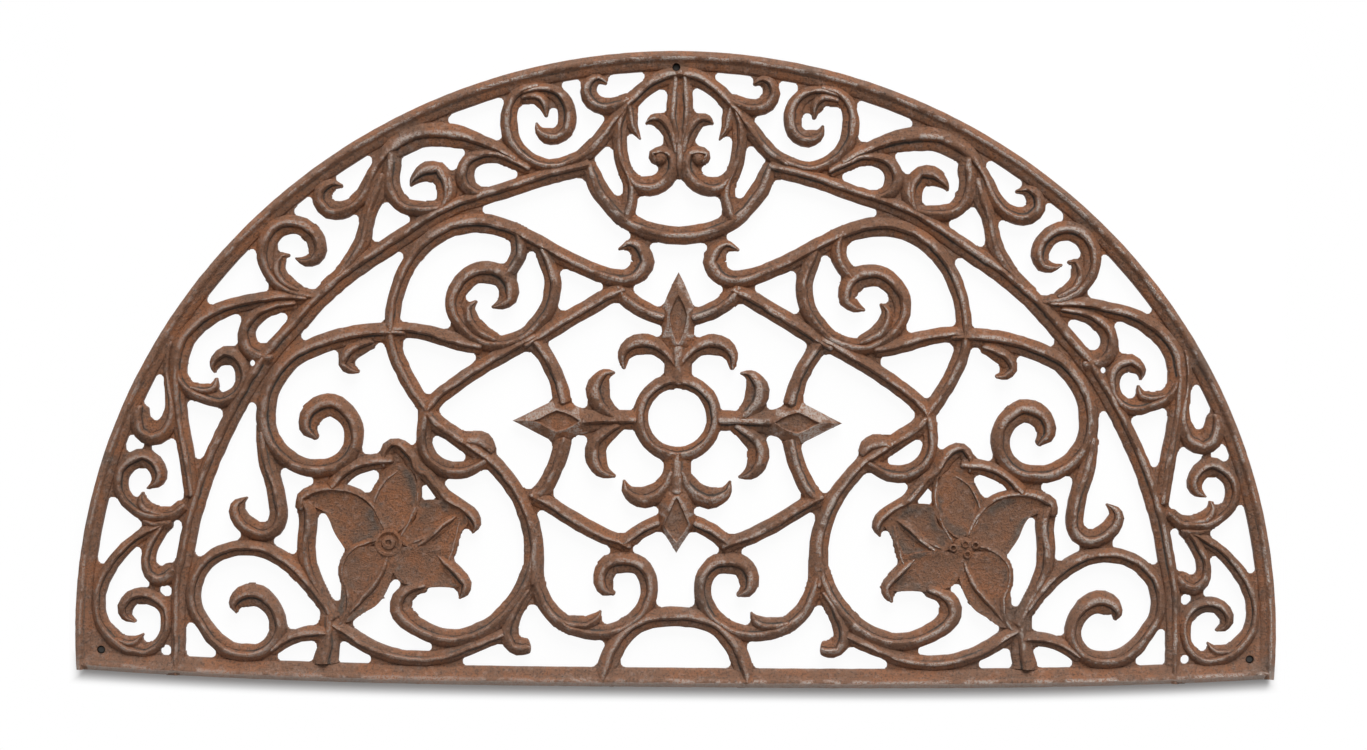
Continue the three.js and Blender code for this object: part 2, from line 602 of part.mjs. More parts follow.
// Stations along a bar: its two edges and its crest in plan, with its direction.
function barSamples(points, side) {
  const knots = points.map(([x, y, width]) => {
    const spot = place([x, y], side);
    return new THREE.Vector3(spot.x, spot.y, width);
  });
  const curve = new THREE.CatmullRomCurve3(knots, false, 'centripetal');
  const path = curve.getPoints((points.length - 1) * samplesPerPoint);
  return path.map((spot, i) => {
    const before = path[Math.max(i - 1, 0)];
    const after = path[Math.min(i + 1, path.length - 1)];
    const heading = Math.atan2(after.y - before.y, after.x - before.x);
    const turnIn = Math.atan2(spot.y - before.y, spot.x - before.x);
    const turnOut = Math.atan2(after.y - spot.y, after.x - spot.x);
    const inside = i > 0 && i < path.length - 1;
    const turn = inside ? Math.atan2(Math.sin(turnOut - turnIn), Math.cos(turnOut - turnIn)) : 0;
    const reach = Math.hypot(after.x - before.x, after.y - before.y) / 2;
    const bend = turn ? (bendShare * reach) / Math.abs(turn) : Infinity;
    const across = new THREE.Vector2(-Math.sin(heading), Math.cos(heading));
    const half = spot.z / 2;
    const centre = new THREE.Vector2(spot.x, spot.y);
    return {
      heading,
      across,
      width: spot.z,
      crest: centre,
      left: centre.clone().addScaledVector(across, turn > 0 ? Math.min(half, bend) : half),
      right: centre.clone().addScaledVector(across, turn < 0 ? -Math.min(half, bend) : -half),
    };
  });
}

// How far the samples between two stations lie from the straight lines that join them.
function bulge(samples, first, last) {
  let most = 0;
  for (const key of ['left', 'crest', 'right']) {
    const start = samples[first][key];
    const chord = samples[last][key].clone().sub(start);
    const length = Math.max(chord.length(), 1e-6);
    for (let i = first + 1; i < last; i++) {
      most = Math.max(most, Math.abs(chord.cross(samples[i][key].clone().sub(start))) / length);
    }
  }
  return most;
}

// The fewest samples that keep the edges within the flatness.
function thin(samples) {
  const kept = [samples[0]];
  let start = 0;
  samples.forEach((sample, end) => {
    if (bulge(samples, start, end) > flatness) {
      start = end - 1;
      kept.push(samples[start]);
    }
  });
  kept.push(samples[samples.length - 1]);
  return kept;
}

// The closed body between rings of points, one ring for each station.
function loft(rings) {
  const count = rings[0].length;
  const index = [];
  for (let i = 2; i < count; i++) {
    const last = (rings.length - 1) * count;
    index.push(0, i - 1, i);
    index.push(last, last + i, last + i - 1);
  }
  for (let r = 0; r < rings.length - 1; r++) {
    for (let i = 0; i < count; i++) {
      const a = r * count + i;
      const b = r * count + ((i + 1) % count);
      index.push(a, a + count, b + count);
      index.push(a, b + count, b);
    }
  }
  const geometry = new THREE.BufferGeometry();
  geometry.setAttribute('position', new THREE.Float32BufferAttribute(rings.flat(2), 3));
  geometry.setIndex(index);
  return solidOf(geometry);
}

// The roof-shaped section of a bar at a station.
function roofRing({ left, right, crest, width }) {
  const eaves = footHeight + wallHeight;
  const top = eaves + Math.min(crestRise, crestSlope * width);
  return [
    [left.x, left.y, footHeight],
    [right.x, right.y, footHeight],
    [right.x, right.y, eaves],
    [crest.x, crest.y, top],
    [left.x, left.y, eaves],
  ];
}

// The upright section that cuts a bar and its seam out of a neighbour.
function cutRing({ left, right, across }) {
  const l = left.clone().addScaledVector(across, seam);
  const r = right.clone().addScaledVector(across, -seam);
  return [
    [l.x, l.y, footHeight - wallHeight],
    [r.x, r.y, footHeight - wallHeight],
    [r.x, r.y, footHeight + wallHeight + 2 * crestRise],
    [l.x, l.y, footHeight + wallHeight + 2 * crestRise],
  ];
}

function sweep(stations, ring) {
  return loft(stations.map(ring));
}

// Stations of a bar with its ends moved outwards by the seam, for the cut.
function lengthened(stations) {
  const moved = stations.map((station) => ({ ...station }));
  const ends = [[moved[0], -1], [moved[moved.length - 1], 1]];
  for (const [station, way] of ends) {
    const step = new THREE.Vector2(Math.cos(station.heading), Math.sin(station.heading)).multiplyScalar(way * seam);
    for (const key of ['left', 'crest', 'right']) {
      station[key] = station[key].clone().add(step);
    }
  }
  return moved;
}

// A bar as its body and the space that its neighbours leave free.
function bar(points, side) {
  const stations = thin(barSamples(points, side));
  return { body: sweep(stations, roofRing), space: sweep(lengthened(stations), cutRing) };
}

function joined(shapes) {
  return {
    body: wasm.Manifold.union(shapes.map((shape) => shape.body)),
    space: wasm.Manifold.union(shapes.map((shape) => shape.space)),
  };
}

// All bars of a drawing, on one side or on both.
function bars(drawing, sides) {
  return joined(sides.flatMap((side) => Object.values(drawing).map((points) => bar(points, side))));
}

// A flat plate over an outline, whose upper face may slope.
function plate(outline, height, slope = [0, 0], margin = 0) {
  const centre = outline.reduce((sum, p) => sum.add(p), new THREE.Vector2()).divideScalar(outline.length);
  const shape = new THREE.Shape(outline);
  const geometry = new THREE.ExtrudeGeometry(shape, { depth: height, bevelEnabled: false });
  const position = geometry.attributes.position;
  for (let i = 0; i < position.count; i++) {
    if (position.getZ(i) > height / 2) {
      const across = position.getX(i) - centre.x;
      const up = position.getY(i) - centre.y;
      position.setZ(i, height + slope[0] * across + slope[1] * up);
    }
  }
  geometry.translate(0, 0, footHeight + margin);
  return solidOf(geometry);
}

// The rim: a bar between two half ellipses.
function rim() {
  const outer = new THREE.Vector2(matWidth / 2, matDepth - archSpring);
  const inner = new THREE.Vector2(opening.halfWidth, opening.top - archSpring);
  const below = Math.asin((archSpring - sillBow) / outer.y);
  const angles = Array.from({ length: rimSteps + 1 }, (_, i) => (Math.PI * i) / rimSteps);
  const samples = [];
  for (const angle of [-below, ...angles, Math.PI + below]) {
    const ray = new THREE.Vector2(Math.cos(angle), Math.sin(angle));
    const out = ray.clone().multiply(outer).setY(archSpring + ray.y * outer.y);
    const into = ray.clone().multiply(inner).setY(archSpring + ray.y * inner.y);
    const across = into.clone().sub(out).normalize();
    samples.push({
      heading: Math.atan2(-across.x, across.y),
      across,
      width: rimWidthTop,
      left: into,
      crest: out.clone().lerp(into, rimCrestShare),
      right: out,
    });
  }
  return { body: sweep(samples, roofRing), space: sweep(samples, cutRing) };
}

// The sill: a bar along the straight edge, whose ends lie a little higher than its middle.
function sill() {
  const half = matWidth / 2 - rimWidthSide / 2;
  const bottom = (x) => sillBow * Math.abs(x / (matWidth / 2)) ** sillBowPower;
  const samples = [];
  for (let i = 0; i <= sillSteps; i++) {
    const x = half * ((2 * i) / sillSteps - 1);
    samples.push({
      heading: 0,
      across: new THREE.Vector2(0, 1),
      width: sillWidth,
      left: new THREE.Vector2(x, bottom(x) + sillWidth),
      crest: new THREE.Vector2(x, bottom(x) + sillWidth * sillCrestShare),
      right: new THREE.Vector2(x, bottom(x)),
    });
  }
  return { body: sweep(samples, roofRing), space: sweep(samples, cutRing) };
}

// A round body about an upright axis, from a closed profile of [radius, height].
function turned(profile, [x, y], sides = roundSides) {
  const points = profile.map(([radius, height]) => new THREE.Vector2(radius, height));
  const geometry = new THREE.LatheGeometry(points, sides);
  geometry.rotateX(Math.PI / 2);
  geometry.translate(x, y, footHeight);
  return solidOf(geometry);
}

function cylinder(radius, from, to, centre, sides) {
  return turned([[0, from], [radius, from], [radius, to], [0, to]], centre, sides);
}

// The rosette ring, with a crest halfway across.
function rosetteRing() {
  const { x, y } = place(rosetteCentre);
  const middle = (rosetteInner + rosetteOuter) / 2;
  const profile = [
    [rosetteInner, 0],
    [rosetteOuter, 0],
    [rosetteOuter, wallHeight],
    [middle, wallHeight + crestRise],
    [rosetteInner, wallHeight],
    [rosetteInner, 0],
  ];
  return {
    body: turned(profile, [x, y], 3 * roundSides),
    space: cylinder(rosetteOuter + seam, -wallHeight, wallHeight + 2 * crestRise, [x, y], 3 * roundSides),
  };
}

// The flower on one side, with its knob.
function flower(side) {
  const shapes = Object.values(flowerRibs).map((points) => bar(points, side));
  for (const { outline, slope } of Object.values(petals)) {
    const knots = outline.map((point) => {
      const spot = place(point, side);
      return new THREE.Vector3(spot.x, spot.y, 0);
    });
    const curve = new THREE.CatmullRomCurve3(knots, true, 'centripetal');
    const path = curve.getPoints(outline.length * samplesPerPoint);
    const spots = path.map(({ x, y }) => new THREE.Vector2(x, y));
    const edge = thin(spots.map((spot) => ({ left: spot, crest: spot, right: spot })))
      .slice(0, -1)
      .map((station) => station.crest);
    const tilt = [side * slope[0], slope[1]];
    shapes.push({
      body: plate(edge, petalHeight, tilt),
      space: plate(edge, boreDepth, [0, 0], -boreDepth / 2),
    });
  }
  const { x, y } = place(knobCentre, side);
  const groove = cylinder(knobRadius + knobGroove, petalHeight - knobGroove, boreDepth, [x, y]);
  const knob = turned(
    [
      [0, 0],
      [knobRadius, 0],
      [knobRadius, petalHeight],
      [knobRadius - knobRise, petalHeight + knobRise],
      [knobDimpleRadius, petalHeight + knobRise],
      [0, petalHeight + knobRise - knobDimpleRadius],
    ],
    [x, y],
  );
  const whole = joined(shapes);
  return { body: whole.body.subtract(groove).add(knob), space: whole.space };
}

// A web between bars, as the part of its outline that no bar's space takes.
function web(outline, side) {
  return plate(outline.map((point) => place(point, side)), wallHeight);
}

const casting = [];

// A piece in the middle.
function addMiddle(name, shape, webs = []) {
  casting.push({ name, webs, ...shape });
}

// A piece on the right, with a mirror image on the left, given as a function of the side.
function addPair(name, shapeOn) {
  const shape = shapeOn(1);
  const space = wasm.Manifold.union([shape.space, shapeOn(-1).space]);
  casting.push({ name, webs: [], paired: true, body: shape.body, space });
}

function addBars(name, drawing) {
  addPair(name, (side) => bars(drawing, [side]));
}

// The bodies in the order in which they cut each other: an earlier one keeps its shape.
addMiddle('rim', rim(), [1, -1].map((side) => web(cornerWeb, side)));
addMiddle('sill', sill());
addMiddle('rosette_ring', rosetteRing());
addBars('arch_band', archBand);
addMiddle('medallion_arch', bars(medallionArch, [1, -1]));
addMiddle('medallion_ring', bars(medallionRing, [1, -1]));
addBars('lyre_scroll', lyreScroll);
addMiddle('bottom_arch', bars(bottomArch, [1, -1]));
addBars('field_stem', fieldStem);
addBars('trunk', trunk);
addBars('field_scroll_c', fieldScrollC);
addBars('rosette_frame', rosetteFrame);
addBars('leaf_loop', leafLoop);
addBars('foot_scroll', footScroll);
addBars('field_scroll_a', fieldScrollA);
addPair('flower', flower);
addBars('flower_scroll', flowerScroll);
addBars('field_scroll_b', fieldScrollB);
addMiddle('top_diamond', bars(topDiamond, [1, -1]));
addMiddle('bottom_diamond', bars(bottomDiamond, [1, -1]));
addBars('lyre_curl', lyreCurl);
addBars('border_scroll_a', borderScrollA);
addBars('border_scroll_c', borderScrollC);
addBars('border_scroll_b', borderScrollB);
addBars('border_curl_c', borderCurlC);
addBars('border_scroll_d', borderScrollD);
addBars('border_scroll_e', borderScrollE);
addBars('border_curl_e', borderCurlE);
addBars('border_loop_e', borderLoopE);
addBars('border_scroll_f', borderScrollF);
addBars('medallion_side', medallionSide);
addMiddle('fleur', bars(fleur, [1, -1]));

// Holes through the iron
const feet = {
  foot_right: place(cornerFoot, 1),
  foot_left: place(cornerFoot, -1),
  foot_top: place(topFoot, 1),
};
const holes = Object.values(feet).map(({ x, y }) => cylinder(footHoleRadius, -boreDepth, boreDepth, [x, y], 16));
for (const side of [1, -1]) {
  const { x, y } = place(drainHole, side);
  holes.push(cylinder(drainHoleRadius, -boreDepth, boreDepth, [x, y], 12));
}
const allHoles = wasm.Manifold.union(holes);

const iron = new THREE.MeshStandardMaterial({ color: 0x6e4c3a, roughness: 0.62, metalness: 0.55 });
const rubber = new THREE.MeshStandardMaterial({ color: 0x241f1c, roughness: 0.9, metalness: 0 });

const mat = new THREE.Group();
mat.name = 'cast_iron_door_mat';
mat.position.y = -matDepth / 2;

// A mesh of the finished solid; a mirrored one is drawn on the other side.
function addMesh(name, solid, material, side = 1) {
  const { vertProperties, triVerts } = solid.getMesh();
  const geometry = new THREE.BufferGeometry();
  geometry.setAttribute('position', new THREE.Float32BufferAttribute(vertProperties, 3));
  geometry.setIndex(Array.from(triVerts));
  geometry.computeVertexNormals();
  const mesh = new THREE.Mesh(geometry, material);
  mesh.name = name;
  mesh.scale.x = side;
  mat.add(mesh);
}

// The largest body of a solid; a cut can leave slivers on the far side of a neighbour.
function mainBody(solid) {
  return solid.decompose().reduce((most, body) => (body.volume() > most.volume() ? body : most));
}

for (const [i, piece] of casting.entries()) {
  const before = casting.slice(0, i).map((other) => other.space);
  const others = casting.filter((other) => other !== piece).map((other) => other.space);
  let solid = piece.body;
  if (before.length) {
    solid = solid.subtract(wasm.Manifold.union(before));
  }
  if (piece.webs.length) {
    const webs = wasm.Manifold.union(piece.webs).subtract(wasm.Manifold.union(others));
    solid = solid.add(webs);
  }
  const finished = mainBody(solid.subtract(allHoles));
  if (piece.paired) {
    addMesh(piece.name + '_right', finished, iron);
    addMesh(piece.name + '_left', finished, iron, -1);
  } else {
    addMesh(piece.name, finished, iron);
  }
}

// The rubber feet: a disc under the iron and a stem up into its hole.
for (const [name, { x, y }] of Object.entries(feet)) {
  const foot = turned(
    [
      [0, -footHeight],
      [footRadius, -footHeight],
      [footRadius, 0],
      [footStemRadius, 0],
      [footStemRadius, footStemTop],
      [0, footStemTop],
    ],
    [x, y],
  );
  addMesh(name, foot, rubber);
}

export default mat;
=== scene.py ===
import math

import bmesh
import bpy
import numpy as np
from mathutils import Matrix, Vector


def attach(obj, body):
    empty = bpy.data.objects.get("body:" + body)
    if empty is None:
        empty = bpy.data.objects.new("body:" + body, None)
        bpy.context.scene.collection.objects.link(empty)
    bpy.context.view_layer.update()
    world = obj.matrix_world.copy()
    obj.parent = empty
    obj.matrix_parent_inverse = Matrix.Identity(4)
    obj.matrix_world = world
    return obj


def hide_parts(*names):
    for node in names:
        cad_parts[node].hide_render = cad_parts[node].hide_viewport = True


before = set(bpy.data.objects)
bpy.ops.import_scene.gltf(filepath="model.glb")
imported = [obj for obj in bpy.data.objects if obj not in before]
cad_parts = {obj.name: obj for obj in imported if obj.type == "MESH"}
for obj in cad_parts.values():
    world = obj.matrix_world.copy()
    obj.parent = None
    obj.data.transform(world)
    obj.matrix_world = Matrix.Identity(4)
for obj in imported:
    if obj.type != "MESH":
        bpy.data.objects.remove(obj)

bl_info = {
    "name": "Cast iron door mat",
    "version": (1, 0, 0),
    "blender": (4, 5, 0),
    "location": "3D View > Sidebar > Door Mat",
    "description": "A half-round door mat of cast iron scrollwork on rubber feet",
    "category": "Add Mesh",
}

MM = 0.001

# Sizes are in millimetres here, with Y from the straight edge. centred() turns a drawn point to metres, with
# Y from the middle of the mat.
MAT_WIDTH = 751.5
MAT_DEPTH = 399
ARCH_SPRING = 35.5
RIM_WIDTH_SIDE = 10.5
RIM_WIDTH_TOP = 13
RIM_CREST_SHARE = 0.31
RIM_GROOVE = -0.3
SILL_WIDTH = 12.4
SILL_BOW = 8.5
SILL_BOW_POWER = 3
SILL_CREST_SHARE = 0.3
EDGE_INSET = 0.6  # keeps the rough outer walls inside the nominal size
FOOT_HEIGHT = 3
FOOT_RADIUS = 8
FOOT_HOLE_RADIUS = 2.6
FOOT_STEM_RADIUS = 2.3
FOOT_STEM_TOP = 3.6
FEET = {"foot_right": (359, 21), "foot_left": (-359, 21), "foot_top": (-2.5, 388)}
DRAIN_HOLES = [(266, 201), (-266, 201)]
DRAIN_RADIUS = 2
CUT_REACH = (-5, 30)  # from and to which height a hole is cut
ROSETTE_CENTRE = (0, 169)
ROSETTE_RADIUS = 23.1
ROSETTE_WIDTH = 9.8

# Bars
STEP = 3.8  # distance between stations along a bar
RIM_STATIONS = 320
SILL_STATIONS = 180
BEND_SHARE = 0.8  # how much of its bend's radius a bar may fill on its inner side
STRAIGHT = 1e-6  # turn between stations, in radians, below which a bar counts as straight
BEND_NEAR = 5  # how many stations on either side a bend is averaged over
BEND_GAIN = 40  # mm; a bend of this radius moves the crest most of the way that it may go
END_REACH = 2  # longest round end of a bar
END_SHARES = (0.99, 0.9, 0.7, 0.4)  # places of a round end's stations, as shares of its length
SILL_MARGIN = 2  # how far above the sill a bar's end still counts as lying in it
CREST_DRIFT = 0.11  # how far the crest moves to the outside of a bend, as a share of the width
CREST_LEANS = {"band": 0.63, "edge_two_left": 0.3}  # where their crest lies, counted from the left edge
GROOVES = {"edge_two_left": 1}  # on which side of the crest these have their groove, whatever their bend
GROOVE_BEND = 3  # how strongly a bend draws the groove to its inside
PLAIN_RAILS = 2  # the rim and the sill, which come first, have a smooth outer slope without a step

# The casting's settings, in metres
WALL_HEIGHT = 0.0045
CREST_RISE = 0.0045
CREST_SLOPE = 0.45  # rise over width
UNEVENNESS = 0.0004

# Corners of a bar's section: place across (1 is the edge), share of the wall, share of the crest's rise.
SECTION_SIDE = [
    (1, 0, 0), (1, 0.9, 0), (0.88, 1, 0.08), (0.52, 1, 0.24), (0.38, 1, 0.3), (0.26, 1, 0.72), (0.1, 1, 0.98),
]
SECTION = [(-1, 0, 0), *SECTION_SIDE, *[(-across, wall, rise) for across, wall, rise in SECTION_SIDE[:0:-1]]]
TOP_SHARE = 0.95  # above this share of the wall height a corner is on the upper face
UPPER_SHARE = 0.8  # and above this one, on it or at the top of the wall
STEP_PLACE = (0.3, 0.45)  # between which places across the groove beside the step lies
GROOVE_DEPTH = 0.08  # as a share of the crest's rise
PLAIN_FALL = 0.85  # how far a slope without a step falls from the crest to the edge, as a share of the rise
OUTER_FALL = 0.55  # the same on the outer slope of the rim and the sill
OUTER_RIDGE = 1.5  # the value of "ridge" by which the material knows that slope, which it paints paler as painted light
PLAIN_DARKENING = 0.45  # how dark the rim's and the sill's groove is made, next to the other bars'
SEED = 3.0
ROUGH_SCALE, WANDER_SCALE = 160.0, 80.0  # of the noises that move the section's corners
NOISE_DETAIL = 2.0
NOISE_MEAN = 0.5
ROUGH_PLAIN = 1.6  # how far they move the rim and the sill, as a share of the unevenness
ROUGH_BAR = 2.9  # how much farther they move the other bars
WANDER_CREST = 4.5  # how far they move the crest to the sides
ROUGH_CREST = 2.3  # and down
LEAST_FACES = 1000  # loose bits with fewer faces are left out
SHARP_ANGLE = math.radians(50)

# Petals, corner webs, blades and turned bosses
PETAL_HEIGHT = 5.6
PETAL_TOP = FOOT_HEIGHT + PETAL_HEIGHT
PETAL_DISH = 0.9
PETAL_INSETS = (0, 0.08, 0.2, 0.35, 0.5, 0.65, 0.8, 0.92)
CORNER_WEB = [(368, 52), (368, 14), (338, 13), (338, 21), (352, 26), (362, 46)]
CORNER_WEB_HEIGHT = 4.5
BLADE_WALL = 4.4
BLADE_EDGE = 8.4  # height of a blade over the feet at the edge of its sunken lozenge
BLADE_FLOOR = 6.6
BLADE_BEVEL = 0.16  # width of the lozenge's sloping edge, as a share of the way to its middle
BLADE_LINE = 166.4  # the blades beside the rosette are mirrored in this line
# Wear and darkening of the rings of a petal or blade, from the underside up and in
PETAL_DARKENING = (0, 0.1, 0.3, 0.34, 0.22, 0.08, 0, 0, 0)
BLADE_WEAR = (0, 0.85, 1.05, 0.2)
BLADE_DARKENING = (0, 0, 0, 0.16)
# Half of each blade's outline and of its sunken lozenge, point for point, from its tip, and the axis that it
# lies along.
BLADES = [
    (
        [(0, 260), (3.4, 253.5), (6.9, 245.5), (9.9, 238), (10.4, 228), (9.9, 219), (8.6, 211.5), (0, 211)],
        [(0, 246), (1.6, 243.5), (3.6, 239.5), (5.6, 234), (5.2, 228), (3.4, 221), (1.4, 215.8), (0, 214.6)],
        "y",
    ),
    (
        [(0, 84.5), (3.3, 90), (7, 95.5), (10.6, 101.5), (10.8, 109.5), (11, 119.5), (10, 127), (0, 128)],
        [(0, 91), (2.6, 94), (5.4, 98), (8.2, 102.5), (5.6, 108), (3.2, 113.5), (1.2, 118), (0, 119.6)],
        "y",
    ),
    (
        [
            (103, BLADE_LINE), (96, 169.8), (88, 174), (78, 179), (70, 179), (62, 175.2), (55, 173.4),
            (53, BLADE_LINE),
        ],
        [
            (90, BLADE_LINE), (86, 168), (81, 170.8), (75.5, 173.2), (69.5, 171.6), (65, 169.5), (62, 167.6),
            (60.5, BLADE_LINE),
        ],
        "x",
    ),
]
TURNED_SIDES = 32
KNOB_CENTRE = (179.7, 89.5)
KNOB_RADIUS = 6.8
STUD_RADIUS = 2.6
STUDS = [(-6.8, -0.3), (0.8, 2.2), (7, 1.6), (2, -4.3)]
VOLUTE_EYE = (12, 331.6)
# Profiles of the turned bodies, as radius and height from the floor
BUTTON_FOOT = [(KNOB_RADIUS + 3, FOOT_HEIGHT), (KNOB_RADIUS + 3, PETAL_TOP - 1.2)]
PLAIN_BUTTON = BUTTON_FOOT + [
    (KNOB_RADIUS, PETAL_TOP - 1.2), (KNOB_RADIUS, PETAL_TOP - 0.2), (KNOB_RADIUS - 1.5, PETAL_TOP + 0.4),
]
RINGED_BUTTON = BUTTON_FOOT + [
    (KNOB_RADIUS + 1.9, PETAL_TOP - 1.2), (KNOB_RADIUS + 1.6, PETAL_TOP + 0.7),
    (KNOB_RADIUS, PETAL_TOP + 0.9), (KNOB_RADIUS - 1.2, PETAL_TOP - 0.5),
    (KNOB_RADIUS - 2.1, PETAL_TOP - 0.5), (KNOB_RADIUS - 2.8, PETAL_TOP + 1.1),
    (KNOB_RADIUS - 4.8, PETAL_TOP + 1.4), (KNOB_RADIUS - 5.4, PETAL_TOP + 0.2),
]
STUD = [
    (STUD_RADIUS, PETAL_TOP - 1), (STUD_RADIUS, PETAL_TOP + 0.9), (STUD_RADIUS - 0.5, PETAL_TOP + 1.4),
    (STUD_RADIUS - 1, PETAL_TOP + 1.4), (STUD_RADIUS - 1.4, PETAL_TOP - 0.3),
]
EYE = [
    (4.6, FOOT_HEIGHT), (4.6, FOOT_HEIGHT + 4.5), (3.8, FOOT_HEIGHT + 6.6), (2.4, FOOT_HEIGHT + 7.6),
    (0.8, FOOT_HEIGHT + 7.9),
]
FOOT = [
    (FOOT_RADIUS - 0.6, 0), (FOOT_RADIUS, 0.6), (FOOT_RADIUS, FOOT_HEIGHT - 0.4),
    (FOOT_RADIUS - 0.4, FOOT_HEIGHT), (FOOT_STEM_RADIUS, FOOT_HEIGHT),
    (FOOT_STEM_RADIUS, FOOT_HEIGHT + FOOT_STEM_TOP - 0.5),
    (FOOT_STEM_RADIUS - 0.5, FOOT_HEIGHT + FOOT_STEM_TOP),
]
FOOT_SHARP_ANGLE = math.radians(40)

# Webs in the corners between bars
CELL = 1.0
GRID_MARGIN = 8
SAMPLES_ACROSS = 40  # how closely a bar is sampled to find the cells that it covers
SAMPLES_ALONG = (0, 0.2, 0.4, 0.6, 0.8)
FILLET_RADIUS = 2.25
WEB_HEIGHT = 3.9
WEB_OVERLAP = 2.3  # how far webs run in under the bars, in cells
WEB_LEAST = 2  # half the width below which a web is left out, in cells
WEB_GAP = 0.1  # how far a web keeps above the underside of the bars
WEB_PASSES = 3  # how often corners that only touch are filled, and outlines smoothed
WEB_FLAT = 0.01  # angle in radians below which its outline counts as straight
# Gaps that stay open, with their radius. The left-hand half has the same.
OPEN_GAPS = [
    (177.6, 57.5, 5.5), (178.5, 49.5, 5), (241, 113.4, 5), (155.2, 120.8, 5), (203, 125, 4.5),
    (63.2, 366.7, 5), (23.5, 353.5, 5), (339.3, 149.9, 5.5), (324.3, 148.5, 4.5),
]

# Noises of the iron, as scale, detail and roughness
BLOTCH = (60.0, 4.0, 0.6)
FLAKE = (260.0, 5.0, 0.6)
GRIT = (750.0, 4.0, 0.75)
PATCH = (38.0, 3.0, 0.6)
SPREAD = (34.0, 3.0, 0.6)
CLOUD = (26.0, 3.0, 0.6)
# From where to where the masks of the iron's layers of colour rise, and the share of each layer
BLOTCH_RANGE = (0.4, 0.62)
CLOUD_RANGE, CLOUD_SHARE = (0.56, 0.7), 0.4
PATCH_RANGE, PATCH_SHARE = (0.48, 0.6), 0.75
PATCH_DARKENING = (0.03, 0.4)
FLAKE_RANGE, FLAKE_SHARE = (0.5, 0.7), 0.16
GRIT_RANGE, GRIT_SHARE = (0.5, 0.62), 0.65
FRONT_LIGHT_RANGE, FRONT_LIGHT_SHARE = (-0.2, -0.08), 0.045  # the front painted a little paler, as painted light; places along Y, in metres
WORN_RIDGE, WORN_SHARE = (0.66, 0.95), 0.9
WORN_GRIT = (0.38, 0.56)
WORN_FLAKE = (0.5, 1.05)
LINE_DARKENING, LINE_SHARE = (0.4, 0.85), 0.72
LINE_FLAKE = (0.36, 0.52)
SPREAD_GAIN = 0.8  # how far patches of wear move up and down the slopes
LAMP_SIDE_RANGE, LAMP_SIDE_LEAN = (-0.3, 0.1), 0.7  # more of the pale wear to the right and, by the lean, to the back, towards the lamp: real wear spread as painted light
SLOPE_RANGE = (1.2, 1.45)  # values of "ridge" on the outer slopes of the rim and the sill
SLOPE_LIGHT_GRIT = (0.36, 0.56)
SILL_PAINTED_LIGHT, RIM_PAINTED_LIGHT = 0.5, 0.04  # how much paler those slopes are painted: painted light, strongest on the sill, whose outer slope faces away from the lamp
SLOPE_LIGHT_END = (-0.19, -0.18)  # where along Y one gives way to the other, in metres
FLAKE_RELIEF, GRIT_RELIEF = 0.0006, 0.0012
IRON_ROUGHNESS, WORN_POLISH = 0.58, 0.18
IRON_METAL, WORN_METAL = 0.25, 0.55
RUBBER_SCALE, RUBBER_DETAIL = 900.0, 3.0
RUBBER_PALER = 1.5
RUBBER_BUMP, RUBBER_RELIEF = 0.2, 0.0003
RUBBER_ROUGHNESS = 0.8

# The stage, in metres
FLOOR_REACH = 3
FLOOR_WHITE = (0.9, 0.9, 0.9, 1)
WHITE = (1, 1, 1, 1)
SHADOW_REACH = 11  # how many millimetres before the mat the floor shows its shading
SHADOW_EDGE = 1  # and within how many millimetres fully
SHADOW_SIDE = 6  # how many millimetres inside and outside the mat's width it ends
LATTICE_WHITE = 0.94  # how much of the shading under the mat is hidden
LIGHT_POWER = 350.0
LIGHT_SIZE = (3.6, 3.3)
LIGHT_SPOT = (0.75, 3.9, 2.85)
SKY_STRENGTH = 0.4
LENS = 66.0
CAMERA_SPOT = (0.0036, -0.0037, 1.574)
CAMERA_TURN = 0.0085

